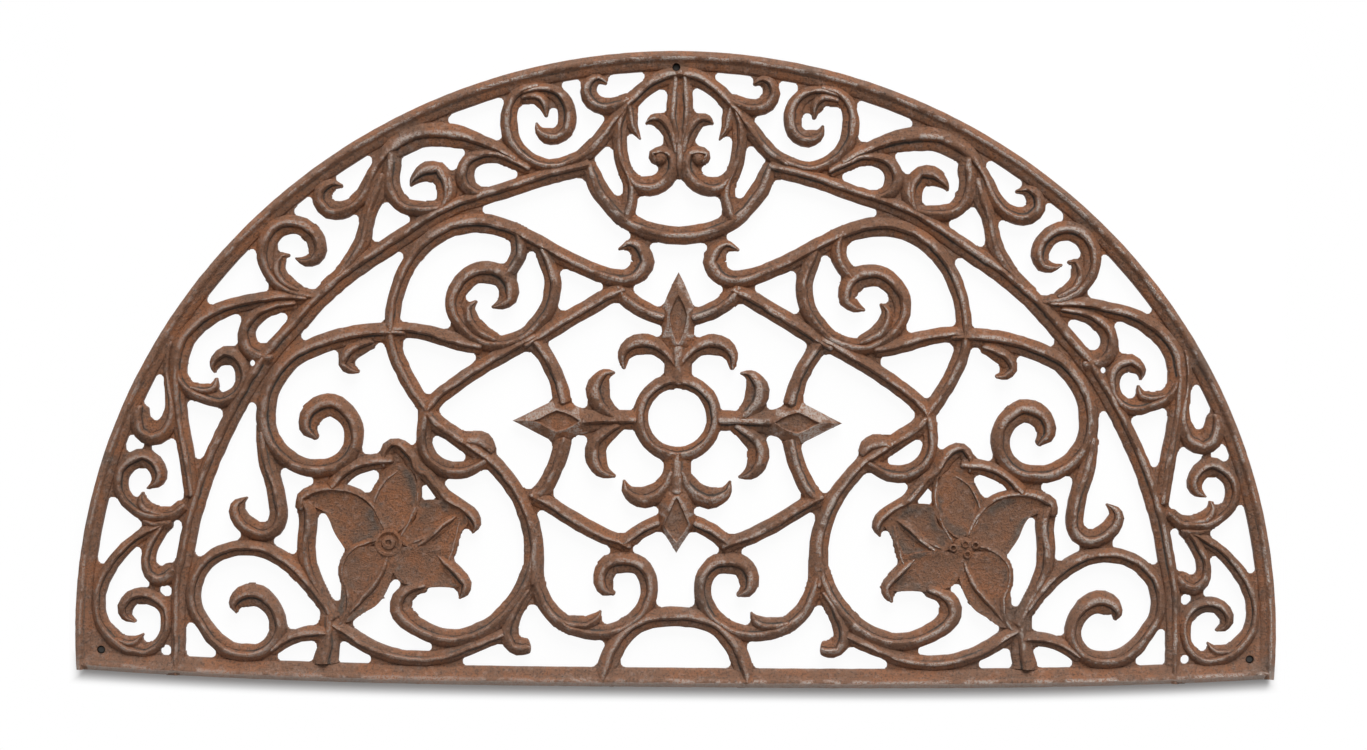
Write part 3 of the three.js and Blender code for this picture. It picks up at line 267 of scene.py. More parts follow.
# The bars of the right-hand half, each with the points of its centreline and its width there. The comments
# name the pieces of the CAD that they make. The left-hand half is their mirror image.
BARS = [
    # arch_band: the inner band, up from the sill inside the rim, then over in a slope to the medallion.
    ("band", [
        (311, 5.5, 8.5), (311, 23.5, 8.7), (311, 43.5, 9), (310.5, 61.5, 9.5), (307, 81.5, 10.3),
        (303, 102.5, 10), (298.5, 118.5, 10.3), (294.5, 131.5, 10.5), (288.5, 146.5, 10.5),
        (281.5, 161.5, 10.3), (276.5, 171.5, 10.5), (271, 181.5, 10.5), (259.5, 200.5, 11),
        (252, 210.5, 11.5), (241, 223, 11.7), (230.5, 235, 11.7), (220.5, 245.5, 11.6), (200.5, 262, 11.6),
        (185.5, 272, 11.6), (172, 281, 11.5), (160, 289, 11), (150, 295, 10.5), (140, 300, 10.5),
        (130, 303.5, 10.2), (120, 307, 10.2), (110, 310, 10.2), (100, 313.5, 10.2), (90, 317, 10.2),
        (80, 320, 10.2), (70, 322.5, 10.2), (57, 325.5, 10),
    ]),
    # border_scroll_a: the scroll in the bottom corner between rim and band, with the leaf on its foot and
    # the hook to the band.
    ("scroll", [
        (318.5, 100.5, 8), (329.5, 95.5, 8), (341.5, 87.5, 7.6), (351, 77, 8.5), (357.5, 66.5, 8.3),
        (361, 55.5, 8), (361, 46.5, 8), (359, 38, 8.5), (353.5, 30.5, 9.5), (346.5, 24.5, 9.5),
        (338.5, 21.5, 8.8), (331, 20.5, 8), (324.5, 24, 7), (320, 30.5, 6.5), (318.5, 38.5, 7),
        (319.5, 46.5, 8.5), (325, 52.5, 9.5), (332.5, 55, 9.8), (340, 53.5, 9.8), (344.5, 47.5, 9.5),
        (343.5, 42, 6.5), (338.5, 39, 1.6),
    ]),
    ("leaf", [(354.5, 29.5, 5), (345.5, 26.5, 7), (338.5, 26, 7), (333.5, 30.5, 1.6)]),
    ("hook", [
        (320, 100, 8), (325, 92, 8.5), (329, 84, 8.5), (330.3, 76, 8.8), (328.5, 69.5, 10),
        (323.8, 66.8, 11.5), (318.8, 68, 12.5), (315.2, 71.5, 11),
    ]),
    # border_scroll_b: the small scroll above it.
    ("scroll", [
        (309, 111.5, 8), (315, 106.5, 9.5), (323, 105.5, 10.5), (331, 106, 9.8), (339, 110, 9),
        (345.5, 116.5, 8.8), (348, 124.5, 9), (346.5, 132.5, 9.5), (341, 138.5, 10.5), (334, 141.2, 12.2),
        (327.5, 138, 10.8), (324, 131.5, 10), (325, 126.5, 8), (330.5, 122.5, 1.6),
    ]),
    ("leaf", [(323, 106.5, 8), (331, 109, 9), (334.5, 113.5, 7), (334, 119, 1.6)]),
    ("tie", [(332, 102, 6), (325, 100.3, 9), (317, 101.5, 9)]),
    # border_scroll_c: the tall border scroll, with the hook that touches the rim.
    ("scroll", [
        (303.5, 119, 9), (306.5, 141, 9.5), (310, 159, 9.5), (312.5, 181, 9.5), (312.5, 201, 11.5),
        (309.5, 213, 12), (302.5, 222.5, 11.5), (290.5, 231.5, 11), (280.5, 236, 10.3), (270.5, 238.5, 10),
        (257.5, 241, 10), (245.5, 242.5, 10), (233.5, 242, 9),
    ]),
    ("hook", [
        (335.6, 172.2, 9.5), (336, 165.3, 13), (333.6, 158.8, 14.6), (328.5, 155.9, 14.6),
        (322.6, 157.6, 13.2), (318.5, 163.6, 10.8), (316.8, 171.6, 8), (317.5, 182, 6), (319, 198.5, 6),
        (317, 212.5, 6),
    ]),
    # border_curl_c: the curl inside the tall scroll.
    ("curl", [
        (312.5, 197, 8), (309, 188, 9), (302.5, 182.5, 9.5), (294.5, 179.5, 9.5), (286.5, 177.5, 9.5),
        (279.5, 179.5, 9), (274, 185, 8.5), (272, 192, 9), (273, 199, 10), (277, 204, 11), (283, 205.5, 12),
        (288.5, 202, 8.5), (290, 198.5, 5), (289.5, 195.5, 1.6),
    ]),
    ("leaf", [(303.5, 185.5, 6), (296.5, 184, 7.5), (290.5, 185.5, 7), (288.5, 191, 1.6)]),
    ("loop", [
        (240.5, 238.5, 8), (250.5, 236.5, 8.5), (259.5, 233, 9), (267, 227, 10.5), (270, 219, 11),
        (268, 211, 12), (262.5, 207, 13), (254.5, 205.5, 12),
    ]),
    # border_scroll_d: the round scroll on the band.
    ("scroll", [
        (227.5, 243, 8), (238.5, 245, 9), (248.5, 250, 9.5), (255.5, 258, 9.5), (258.5, 267, 10.8),
        (257.5, 276.5, 12), (252.5, 284.5, 12.3), (244.5, 288, 12.4), (235.5, 286.5, 12),
        (228.5, 280.5, 11.6), (226, 272.5, 11.4), (228.5, 266.5, 9.5), (233.5, 265, 6.5), (239, 266.5, 1.8),
    ]),
    ("leaf", [(238.5, 247.5, 7), (247, 253, 9), (250.5, 260.5, 8.5), (247.5, 268, 5), (244.5, 268.5, 2.5)]),
    # border_scroll_e: the border scroll with its stem up from the band.
    ("stem", [
        (221, 249.5, 7), (211, 257.5, 9), (203, 268.5, 10), (198, 277.5, 10), (196, 286.5, 9.2),
        (193.5, 296.5, 9), (189.5, 307.5, 12), (186.5, 318.5, 10),
    ]),
    ("scroll", [
        (212, 312.5, 3), (217.5, 313, 7.5), (222.5, 309, 11), (223, 302.5, 12.5), (218.5, 297.5, 12.3),
        (211.5, 297, 11.3), (204, 300.5, 9.8), (197.5, 307.5, 9.2), (192.5, 317.5, 9), (186.5, 327.5, 9),
        (180, 334.5, 13), (172, 340, 15.3), (163, 344, 15), (152, 345, 15), (140, 344, 14.5),
        (130, 341.5, 12.5), (120, 338, 10.5), (111, 334, 10), (103, 329.5, 9),
    ]),
    # border_curl_e: the curl under that scroll.
    ("neck", [
        (181, 333, 10), (180.3, 325.5, 12.3), (180.6, 318, 10.8), (179.7, 311, 11), (176.5, 304.5, 11),
        (171.5, 300, 10.5), (163, 298.5, 10), (154, 298.5, 9), (148, 300, 8),
    ]),
    ("curl", [
        (148, 299.5, 9), (146, 307.7, 11), (147, 315, 12), (151.5, 321, 13.5), (158, 321.5, 13),
        (163.5, 318.5, 8.5), (166.5, 315.5, 5), (167.8, 313.2, 1.8),
    ]),
    ("web", [(146.5, 301.5, 8), (144, 309.5, 11), (144, 316.5, 8)]),
    # border_loop_e: the loop beside it, between the band and the border scroll.
    ("loop", [
        (124, 308, 8), (131.5, 312, 10.5), (134.5, 319.5, 11.8), (131.5, 327.5, 11), (124, 331.5, 9.5),
        (114, 332, 9), (104.5, 328.5, 9), (95, 324, 8),
    ]),
    # border_scroll_f: the spiral beside the medallion, hung from the rim.
    ("scroll", [
        (89.5, 375, 7), (97.5, 372.5, 9), (103.5, 367.5, 9.5), (106.5, 360, 9.8), (107, 351.5, 11),
        (105, 342.5, 10.3), (100, 335, 9.3), (91.5, 329, 8.5), (81.5, 326, 8), (71.5, 328, 8), (63.5, 331, 8),
    ]),
    ("spiral", [
        (97.5, 371.5, 8), (87.5, 373.5, 8), (78.5, 371.5, 9.5), (72.5, 365.5, 11), (70.5, 356.5, 11.5),
        (72, 349, 11), (77.5, 344.5, 10.8), (83.5, 345, 10), (88, 348, 6), (89.5, 352, 1.8),
    ]),
    ("leaf", [(97.5, 368, 7), (90.5, 369, 8.5), (85.5, 365, 8.5), (84, 358, 3)]),
    # medallion_side: the bar, leaf and volute inside the medallion.
    ("bar", [
        (33.5, 363, 9), (37, 353, 9.5), (37.5, 342, 9.3), (36.5, 332, 9.2), (34, 323.5, 9.2), (31, 316, 9.2),
        (30.5, 308, 9.5), (32, 299.5, 10), (34.5, 292.5, 10),
    ]),
    ("leaf", [(33, 367.5, 7), (30.5, 359.5, 8), (29.5, 351.5, 7), (25, 343.5, 1.5)]),
    ("volute", [
        (32, 320.5, 8), (26.5, 315, 11), (19, 313.5, 12.5), (12, 316, 12.5), (7, 321.5, 12), (5.3, 328, 10),
        (7.6, 333, 9.5), (11.5, 334.3, 9.5), (14.8, 332.8, 9.5), (14.8, 329.8, 7.5),
    ]),
    # field_scroll_a: the large scroll that stands on the sill.
    ("scroll", [
        (220, 51.5, 10), (225, 58, 10), (232.5, 66.5, 10), (239, 73, 10.3), (246.5, 78.5, 10.3),
        (256, 83.5, 10), (267, 85.5, 9.8), (278, 84.5, 9.7), (288, 80.5, 9.7), (296, 73.5, 9.3),
        (300.5, 64.5, 9), (302, 54.5, 9), (300, 45.5, 9), (294.5, 36.5, 9.3), (287.5, 27.5, 10),
        (279, 21.5, 10.5), (269, 19.5, 11.2), (259.5, 21, 10), (252, 27, 10), (248.5, 35.5, 10.3),
        (250.5, 44.5, 10.5), (256, 52, 12), (264, 56, 14.5), (271, 54.5, 14), (275.5, 49.5, 8.5),
        (275, 45.5, 2),
    ]),
    ("tie", [(252, 22, 8), (243.5, 27.5, 8.5), (235, 31, 9), (226, 32.5, 9.5), (217, 32, 10)]),
    # field_stem: the stem that rises from the sill to the flower, with its low branch.
    ("post", [(218.6, 13.8, 15.5), (218.6, 16.5, 15), (217, 23, 13.8), (216.8, 31, 13.5), (216, 43, 13)]),
    ("stem", [
        (215, 42, 12), (220.5, 54, 9.2), (226.5, 66, 9.8), (230.5, 77, 10.8), (231.5, 89, 11.2),
        (230.5, 100, 11.2), (231, 109, 12), (233.5, 114, 10),
    ]),
    ("branch", [
        (214, 37.5, 9), (205, 32.5, 9.8), (195, 26, 9.6), (185, 21.5, 9), (172, 18, 9), (160, 17, 9),
        (148, 18, 9), (138, 20.5, 9.3), (127, 25, 9), (117, 29, 9), (108, 32.5, 8),
    ]),
    # field_scroll_b: the hooked scroll between the flower and the band.
    ("scroll", [
        (259.5, 157.5, 8), (258, 147.5, 9.5), (256, 137.5, 10.5), (252.5, 127.5, 10.5), (250, 115.5, 11),
        (249, 105.5, 11), (252, 98, 11.5), (258.5, 95, 11), (265.5, 97.5, 11.5), (272, 102.5, 11.5),
        (275, 109, 10), (273.5, 113.5, 6.5), (269.5, 116.5, 1.8),
    ]),
    # field_scroll_c: the large scroll under the slope of the band.
    ("scroll", [
        (172, 220.5, 9.5), (182, 221, 11.5), (196, 220, 12.3), (211, 217, 12.3), (226, 212, 12),
        (239.5, 205, 11.5), (249, 195, 11.5), (255.5, 182.5, 11.5), (257.5, 169, 12), (256, 157.5, 11.5),
        (250.5, 148, 11.2), (243, 141, 11.2), (234, 136.5, 11.2), (224, 135.5, 11.3), (214, 137.5, 11.5),
        (206.5, 143, 11.5), (202.5, 152, 11.8), (203, 162, 12.2), (208, 170, 13), (216, 175, 14.8),
        (224, 173.5, 15), (230, 167.5, 13), (230.5, 161, 12), (226.5, 155.5, 5),
    ]),
    ("hook", [
        (192, 214.5, 8), (200, 211, 10), (206, 206.5, 10.5), (207.5, 201, 9.5), (204.5, 197.5, 6.5),
        (200.5, 196.5, 3),
    ]),
    # lyre_scroll: the long scroll that runs up beside the rosette and under the medallion.
    ("scroll", [
        (156, 172.5, 10), (162.5, 181, 9.8), (169, 191.5, 9.8), (174.5, 202.5, 9.8), (178, 213, 10),
        (179, 225, 9.8), (178, 238, 9.3), (174.5, 251, 9.5), (169.5, 262.5, 9.8), (162.5, 272.5, 10.3),
        (153, 281, 11), (142, 287, 11.5), (130, 289.5, 12), (118, 289, 12), (106, 285.5, 11.8),
        (95, 280.5, 11.5), (85, 275.5, 11.3), (72, 268.5, 10.8), (60, 263, 10.8), (50, 259, 10.8),
        (41, 256.5, 11.2), (33, 256, 11.3), (26, 259.5, 13), (22.5, 266.5, 15), (24.5, 273, 12.5),
        (30, 277, 7), (37, 274.5, 2),
    ]),
    ("spur", [
        (102.5, 285.5, 9), (100, 276.5, 10.3), (100.5, 269.5, 10.3), (104, 263, 9.5), (108.5, 257.5, 9),
    ]),
    ("tie", [
        (178, 222.5, 9), (168, 222.5, 9.8), (156, 220.5, 10), (145, 217.5, 10.8), (134, 214.5, 11),
        (124, 212.5, 10),
    ]),
    # lyre_curl: the curl hung under it.
    ("curl", [
        (85.5, 273, 9), (82, 264.5, 10.3), (79, 255.5, 10.6), (79, 246.5, 10.6), (81.5, 237, 10.3),
        (87.5, 228, 10.2), (95.5, 220, 10), (105.5, 215.5, 10), (116.5, 214.5, 10.5), (127, 218.5, 11),
        (135.5, 226.5, 10.5), (140, 235.5, 10.5), (139.5, 244.5, 11.8), (135, 252, 12.3), (128, 258, 13),
        (119.5, 259, 14), (111, 256.5, 14), (106.5, 250, 13), (106.5, 243, 11), (111.5, 239, 7),
        (115.5, 237.5, 2.5),
    ]),
    ("leaf", [
        (115, 217.5, 8), (124.5, 222.5, 10.5), (129.5, 229.5, 9.5), (130.5, 236.5, 7), (127, 240.5, 2.5),
    ]),
    # leaf_loop: the strap to the rosette frame and the loop round the small oblong gap.
    ("tie", [
        (156, 172.5, 10), (150.5, 179.5, 10), (140, 188, 10), (130, 195, 10), (120, 201.5, 10),
        (110, 207.5, 10.3), (100, 213.5, 10.8), (90, 218.5, 10),
    ]),
    ("loop", [
        (156, 173.5, 11), (157.5, 164.5, 10), (158.5, 154.5, 9.3), (156, 145.5, 9.5), (150, 138.5, 10),
        (141.5, 135, 11), (132.5, 135.5, 11), (124.5, 139, 9.5), (117.5, 143, 8),
    ]),
    # trunk: the trunk from the foot scroll up to the lyre, with its bud.
    ("stem", [
        (156, 170.5, 10), (149.5, 163.5, 11), (142, 158.5, 11), (134, 153, 11), (125.5, 147.5, 11),
        (117, 141.5, 10.5), (109, 133, 10.3), (102, 124, 10.5), (95.5, 112.5, 11), (91.5, 101.5, 11.7),
        (89.5, 91.5, 12), (89, 79.5, 12.3), (89, 65.5, 12.5),
    ]),
    ("bud", [(133, 151.5, 10), (127.5, 152.5, 15), (121.5, 151, 15), (117, 147, 9)]),
    # flower_scroll: the scroll under the flower.
    ("scroll", [
        (158, 62, 8), (165.5, 59.5, 9.5), (171, 54.5, 13), (172, 47.5, 14), (167.5, 41, 12.5),
        (160, 36, 11.3), (150, 31.5, 11), (138, 30, 10.8), (125.5, 33, 11), (115, 38.5, 11),
        (106.5, 46.5, 11), (98.5, 56.5, 11.2), (93, 67.5, 11), (90, 78.5, 9),
    ]),
    ("hook", [
        (93, 59.5, 9), (99, 49, 9.5), (103, 39, 9.5), (104, 31.5, 11), (100.5, 26, 11.5), (95.5, 25, 10.8),
        (92.5, 25.5, 9.5),
    ]),
    # foot_scroll: the scroll at the foot of the middle.
    ("scroll", [
        (88, 69.5, 10), (85, 59, 10), (79.5, 49, 10.5), (71.5, 41, 10.5), (61.5, 36.5, 10.5), (50, 34.5, 10),
        (39.5, 35.5, 9.5), (29.5, 40, 9.8), (21.5, 47.5, 10.3), (17, 57.5, 10.8), (17.5, 68, 11.3),
        (23, 76, 12), (32, 78.5, 13.5), (41, 76.5, 13.5), (45.5, 69.5, 13.3), (44.5, 62.5, 11),
        (39.5, 59, 3.5),
    ]),
    ("leaf", [(73, 41.5, 7), (64, 40, 9), (55.5, 40, 9), (50, 43, 7), (47.5, 47, 1.8)]),
    # rosette_frame: the straps round the rosette, with the side spike and its crescents.
    ("strap_foot", [
        (30, 88.5, 10), (36, 91.5, 9.5), (45, 94.5, 9.8), (57, 100.5, 10), (70, 108, 10), (80, 114.5, 10),
        (90, 119.5, 10),
    ]),
    ("strap_low", [
        (88, 118.5, 10), (82.5, 125, 11), (78, 133.5, 10.6), (74, 143.5, 10.8), (71.5, 154.5, 11),
    ]),
    ("strap_high", [
        (71.8, 178.5, 11.3), (73, 184, 11.3), (76, 193.5, 10.2), (81.5, 204.5, 10.3), (88.5, 215, 11),
    ]),
    ("strap_arm", [
        (95, 213.5, 10), (80, 223, 10.8), (68, 230.5, 10.8), (56, 237.5, 10.8), (45, 244, 10.8),
        (35, 248.5, 10.5),
    ]),
    ("strap_top", [(37, 250, 9), (33.5, 245, 11.3), (27.5, 240, 11.3), (20, 235.5, 11), (10, 232, 10.3)]),
    ("diamond", [(57.5, 166.5, 14.5), (46, 167, 12.5), (36, 167.5, 12.5), (27, 167.5, 13)]),
    ("crescent_up", [
        (39, 169, 8), (44, 173.5, 11.5), (48.5, 179.5, 14), (50, 186.5, 15.3), (48, 192, 12.5),
        (44.5, 196, 7), (40.5, 197, 2.5),
    ]),
    ("crescent_down", [
        (37, 163.5, 8), (44, 158.5, 11), (50, 152, 13), (51, 145, 13.5), (48.5, 138, 11.5), (44.5, 134, 7.5),
        (39.5, 132.5, 2.5),
    ]),
    # bottom_arch: the small arch on the sill.
    ("arch", [
        (45, 4.5, 11), (42.5, 13.5, 12.5), (38.5, 23.5, 12.5), (32.5, 32.5, 12), (24, 39.5, 11.3),
        (13, 43.5, 12), (0, 44.5, 12.3),
    ]),
    # medallion_arch: the pointed arch of the medallion under the rim, with its hooks.
    ("arch", [
        (67.5, 328.5, 8), (59.5, 333, 9.5), (52.5, 339.5, 10), (46, 347.5, 10), (40, 355, 10),
        (34, 362.5, 10), (27.5, 369.5, 10), (19.5, 376.5, 10), (10.5, 381.5, 11), (-0.5, 383.5, 12),
    ]),
    ("hook", [
        (32, 367.5, 9), (40, 364.5, 10), (48, 363.5, 10.5), (54.5, 366.5, 11), (57.5, 372.5, 10.5),
        (55.5, 378.5, 8.5), (51, 380.5, 6.5), (47, 378.5, 3),
    ]),
    # medallion_ring: the lower half of the medallion.
    ("ring", [
        (56.5, 327, 8), (54, 320, 11), (50.5, 312, 12), (45, 304.5, 11.5), (38.5, 297, 11), (31.5, 291.5, 11),
        (22, 287, 11.2), (11, 284, 11.4), (0, 283, 11.5),
    ]),
    # top_diamond: the spike above the rosette and its crescents.
    ("blade", [(0, 212, 17.5), (0, 205, 17), (0, 197.5, 17), (0, 191.5, 17)]),
    ("crescent", [
        (2, 201.5, 8), (8, 209, 9.5), (14.5, 213.5, 11.5), (22, 215, 13.5), (29, 213, 12.5), (33.5, 208, 9),
        (34, 200.5, 3),
    ]),
    # bottom_diamond: the spike below the rosette, its crescents and the straps to the foot.
    ("blade", [(0, 145.5, 17), (0, 138.5, 16.5), (0, 130.5, 19), (0, 123, 21)]),
    ("crescent", [
        (4, 134.5, 8), (7.5, 127.5, 10.5), (13, 122, 12.8), (20, 119, 13.8), (27, 120.5, 11.3),
        (31.5, 124.5, 6.5), (33, 129, 2),
    ]),
    ("strap", [(32, 90, 10), (25, 96, 9.8), (18.5, 100, 9.8), (12, 102.8, 9.8)]),
    # fleur: the leaf that hangs in the medallion.
    ("stem", [
        (3, 384, 8), (3.2, 379, 8.2), (3.6, 371, 8.6), (4, 362, 9), (3.8, 355, 9), (2.6, 347, 8),
        (1.2, 339, 7),
    ]),
    ("blade", [(0, 352, 3), (0, 343.5, 9), (0, 335.5, 12), (0, 327.5, 12), (0, 319.5, 3)]),
    ("leaf", [
        (20.3, 353.3, 2), (17.5, 355, 6.5), (13.5, 355.3, 8.5), (9.5, 352.5, 10), (6.5, 347.5, 9.5),
        (4.3, 341.5, 8.5), (3, 335.5, 7),
    ]),
    # flower_ribs: the flower: the stalk from the stem, the raised edges of the petals and the petals
    # themselves.
    ("stalk", [(214.5, 124, 11), (207, 132.5, 10), (197.5, 137.5, 10), (188, 140, 10), (179, 140.5, 9)]),
    ("edge_one", [
        (233.5, 111, 10), (232.5, 116.5, 11), (224.5, 121, 9.5), (213.5, 122, 8.5), (203, 120.5, 7.5),
        (193.5, 115, 6.5), (187, 106.5, 5.5), (182.5, 97, 4.5),
    ]),
    ("edge_two", [
        (185.5, 90.8, 3), (193.5, 88.6, 5.5), (202, 84.4, 6.2), (207, 77.5, 6), (208.2, 69.4, 5.6),
        (205.8, 60, 5.4), (204.9, 52, 5.4), (206.2, 45.5, 6), (210.3, 38.5, 6.5),
    ]),
    ("edge_two_left", [
        (179.5, 83, 3), (181, 76, 6), (184, 68.5, 7.5), (188.3, 61.5, 8), (193.6, 55.5, 7.5), (199, 49.5, 6),
        (203, 44.5, 4),
    ]),
    ("hook", [
        (182.5, 138.5, 6), (182, 145.5, 8), (178, 150, 9.5), (172.5, 149, 9.5), (167, 143, 9.5),
        (162.5, 136, 9.5), (156, 132.5, 9),
    ]),
    ("edge_three", [(166.5, 142, 6), (163, 131.5, 5), (162, 120.5, 5), (165, 107, 5), (172, 94, 4)]),
    ("edge_three_right", [
        (175, 133.5, 3), (182, 128.5, 4), (187, 120, 4.5), (189, 112, 4.5), (187, 104.5, 4), (183, 98, 3),
    ]),
    ("edge_four", [
        (156.5, 132.5, 9), (150, 124.5, 9), (144, 117.5, 9.5), (135.5, 112, 9.5), (128.5, 106, 10.5),
        (126, 100.5, 7.5), (127, 96.5, 2),
    ]),
    ("spine_four", [
        (136.5, 106.8, 3), (141, 103.8, 6.5), (147.5, 99, 8.5), (153.5, 93.5, 7), (159, 89.2, 6),
        (164, 86.2, 3),
    ]),
    ("fold_four", [(154.5, 94, 2.5), (160, 91.2, 5), (167.5, 88.3, 2.5)]),
    ("side_four", [(136, 102, 3.5), (138.3, 92, 5), (140.5, 83.5, 5), (143.5, 76.5, 4)]),
    ("edge_five", [
        (148.5, 81.5, 3.5), (144.5, 77, 7.5), (138, 70, 10), (132.5, 63.5, 9), (133.5, 58.5, 7),
        (135, 55.5, 2),
    ]),
]

# The petals of the right-hand lily: the slope of the upper face, as rise per millimetre along x and y, and
# the outline.
PETALS = [
    ((-0.01, 0.03), [
        (183, 94.5), (190, 89.5), (205, 84), (209.5, 89), (214, 96), (217.5, 104.5), (221.5, 109.5),
        (231, 113.5), (226, 120.5), (214, 123), (202, 119.5), (192, 112.5), (184, 101.5),
    ]),
    ((0.01, 0.02), [
        (203, 40), (195, 45.5), (188, 49.5), (183, 55.5), (180, 61.5), (178, 66.5), (176, 76.5), (178, 84.5),
        (190, 87), (205, 84), (208, 71.5), (209, 61.5), (210, 51.5), (212, 45.5), (208, 40),
    ]),
    ((-0.03, 0), [
        (184, 99.5), (191, 110.5), (191.5, 119), (186.5, 129), (182, 136), (175, 139.5), (168, 136.5),
        (163, 128.5), (161, 117.5), (162, 109.5), (168, 101.5), (176, 95.5),
    ]),
    ((0, 0.02), [
        (171, 95.5), (163, 104.5), (160.5, 115), (152, 116.5), (143, 115.5), (134, 109.5), (130, 102.5),
        (134, 97.5), (136, 91.5), (139, 85.5), (148, 83.5), (160, 85.5), (172, 89.5),
    ]),
    ((0, 0.03), [
        (174, 85.5), (160, 87.5), (148, 85.5), (140, 82), (138.5, 77.5), (133, 70.5), (130, 64.5),
        (136.5, 62), (148, 62), (158, 61.5), (166, 63), (173, 65.5), (177, 71.5), (179, 79.5),
    ]),
]


class Link:
    """An output of a node. Arithmetic with other links or numbers adds nodes to its tree."""

    def __init__(self, nodes, socket):
        self.nodes = nodes
        self.socket = socket

    def __getitem__(self, name):
        return Link(self.nodes, self.socket.node.outputs[name])

    def __add__(self, other):
        return self.nodes.sum("ADD", self, other)

    def __radd__(self, other):
        return self.nodes.sum("ADD", other, self)

    def __sub__(self, other):
        return self.nodes.sum("SUBTRACT", self, other)

    def __rsub__(self, other):
        return self.nodes.sum("SUBTRACT", other, self)

    def __mul__(self, other):
        return self.nodes.sum("MULTIPLY", self, other)

    def __rmul__(self, other):
        return self.nodes.sum("MULTIPLY", other, self)

    def __pow__(self, other):
        return self.nodes.sum("POWER", self, other)

    def __rpow__(self, other):
        return self.nodes.sum("POWER", other, self)

    def __abs__(self):
        return self.nodes.sum("ABSOLUTE", self)

    def __gt__(self, other):
        return self.nodes.sum("GREATER_THAN", self, other)

    def __lt__(self, other):
        return self.nodes.sum("LESS_THAN", self, other)


class Nodes:
    """The nodes of a tree."""

    def __init__(self, tree):
        self.tree = tree

    def put(self, socket, value):
        """Gives a socket its number, colour or link, or all the links of a list."""
        for item in value if isinstance(value, list) else [value]:
            if isinstance(item, Link):
                self.tree.links.new(item.socket, socket)
            else:
                socket.default_value = item

    def add(self, kind, settings=None, values=None):
        """A node of this type, with its settings and then its inputs, as the link from its first output."""
        node = self.tree.nodes.new(kind)
        for name, value in (settings or {}).items():
            setattr(node, name, value)
        for name, value in (values or {}).items():
            self.put(node.inputs[name], value)
        shown = [socket for socket in node.outputs if socket.enabled]
        return Link(self, shown[0]) if shown else node

    def sum(self, operation, *values):
        """A Math node, or a Vector Math node where one of the values is a vector or a colour."""
        kinds = {value.socket.type for value in values if isinstance(value, Link)}
        if kinds & {"VECTOR", "RGBA"}:
            values = [(value,) * 3 if isinstance(value, (int, float)) else value for value in values]
            kind = "ShaderNodeVectorMath"
        else:
            kind = "ShaderNodeMath"
        return self.add(kind, {"operation": operation}, dict(enumerate(values)))

    def mix(self, kind, factor, low, high):
        """The vector or colour low where the factor is 0 and high where it is 1."""
        first = {"VECTOR": 4, "RGBA": 6}[kind]
        return self.add("ShaderNodeMix", {"data_type": kind}, {0: factor, first: low, first + 1: high})

    def ramp(self, value, start, end):
        """0 up to start, 1 from end on, and smooth in between."""
        return self.add(
            "ShaderNodeMapRange",
            {"interpolation_type": "SMOOTHSTEP"},
            {"Value": value, "From Min": start, "From Max": end},
        )

    def split(self, vector):
        return self.add("ShaderNodeSeparateXYZ", {}, {"Vector": vector})


def lerp(a, b, share):
    return a + (b - a) * share


def centred(x, y, z=0.0):
    """A drawn point in metres, with Y from the middle of the mat."""
    return Vector((x, y - MAT_DEPTH / 2, z)) * MM


def spline(knots, cyclic=False):
    """Centripetal Catmull-Rom curve through the knots, about STEP apart."""
    knots = [Vector(knot) for knot in knots]
    if cyclic:
        ring = [knots[-1], *knots, knots[0], knots[1]]
    else:
        ring = [2 * knots[0] - knots[1], *knots, 2 * knots[-1] - knots[-2]]
    path = []
    for a, b, c, d in zip(ring, ring[1:], ring[2:], ring[3:]):
        before, here, after = (math.sqrt((q - p).length) for p, q in ((a, b), (b, c), (c, d)))
        out = ((b - a) / before - (c - a) / (before + here) + (c - b) / here) * here
        into = ((c - b) / here - (d - b) / (here + after) + (d - c) / after) * here
        count = max(2, math.ceil((c - b).length / STEP))
        for i in range(count):
            t = i / count
            path.append(
                b * (2 * t**3 - 3 * t**2 + 1)
                + out * (t**3 - 2 * t**2 + t)
                + c * (3 * t**2 - 2 * t**3)
                + into * (t**3 - t**2)
            )
    if not cyclic:
        path.append(knots[-1])
    return path


def rounded_end(path):
    """The path with a round end beyond its first point, unless it lies in the sill."""
    end, ahead = path[0], (path[0] - path[1]).xy.normalized()
    if end.y < SILL_WIDTH + SILL_MARGIN:
        return path
    cap = []
    for share in END_SHARES:
        spot = end.xy + ahead * (min(end.z / 2, END_REACH) * share)
        cap.append(Vector((*spot, end.z * math.sqrt(1 - share**2))))
    return cap + path


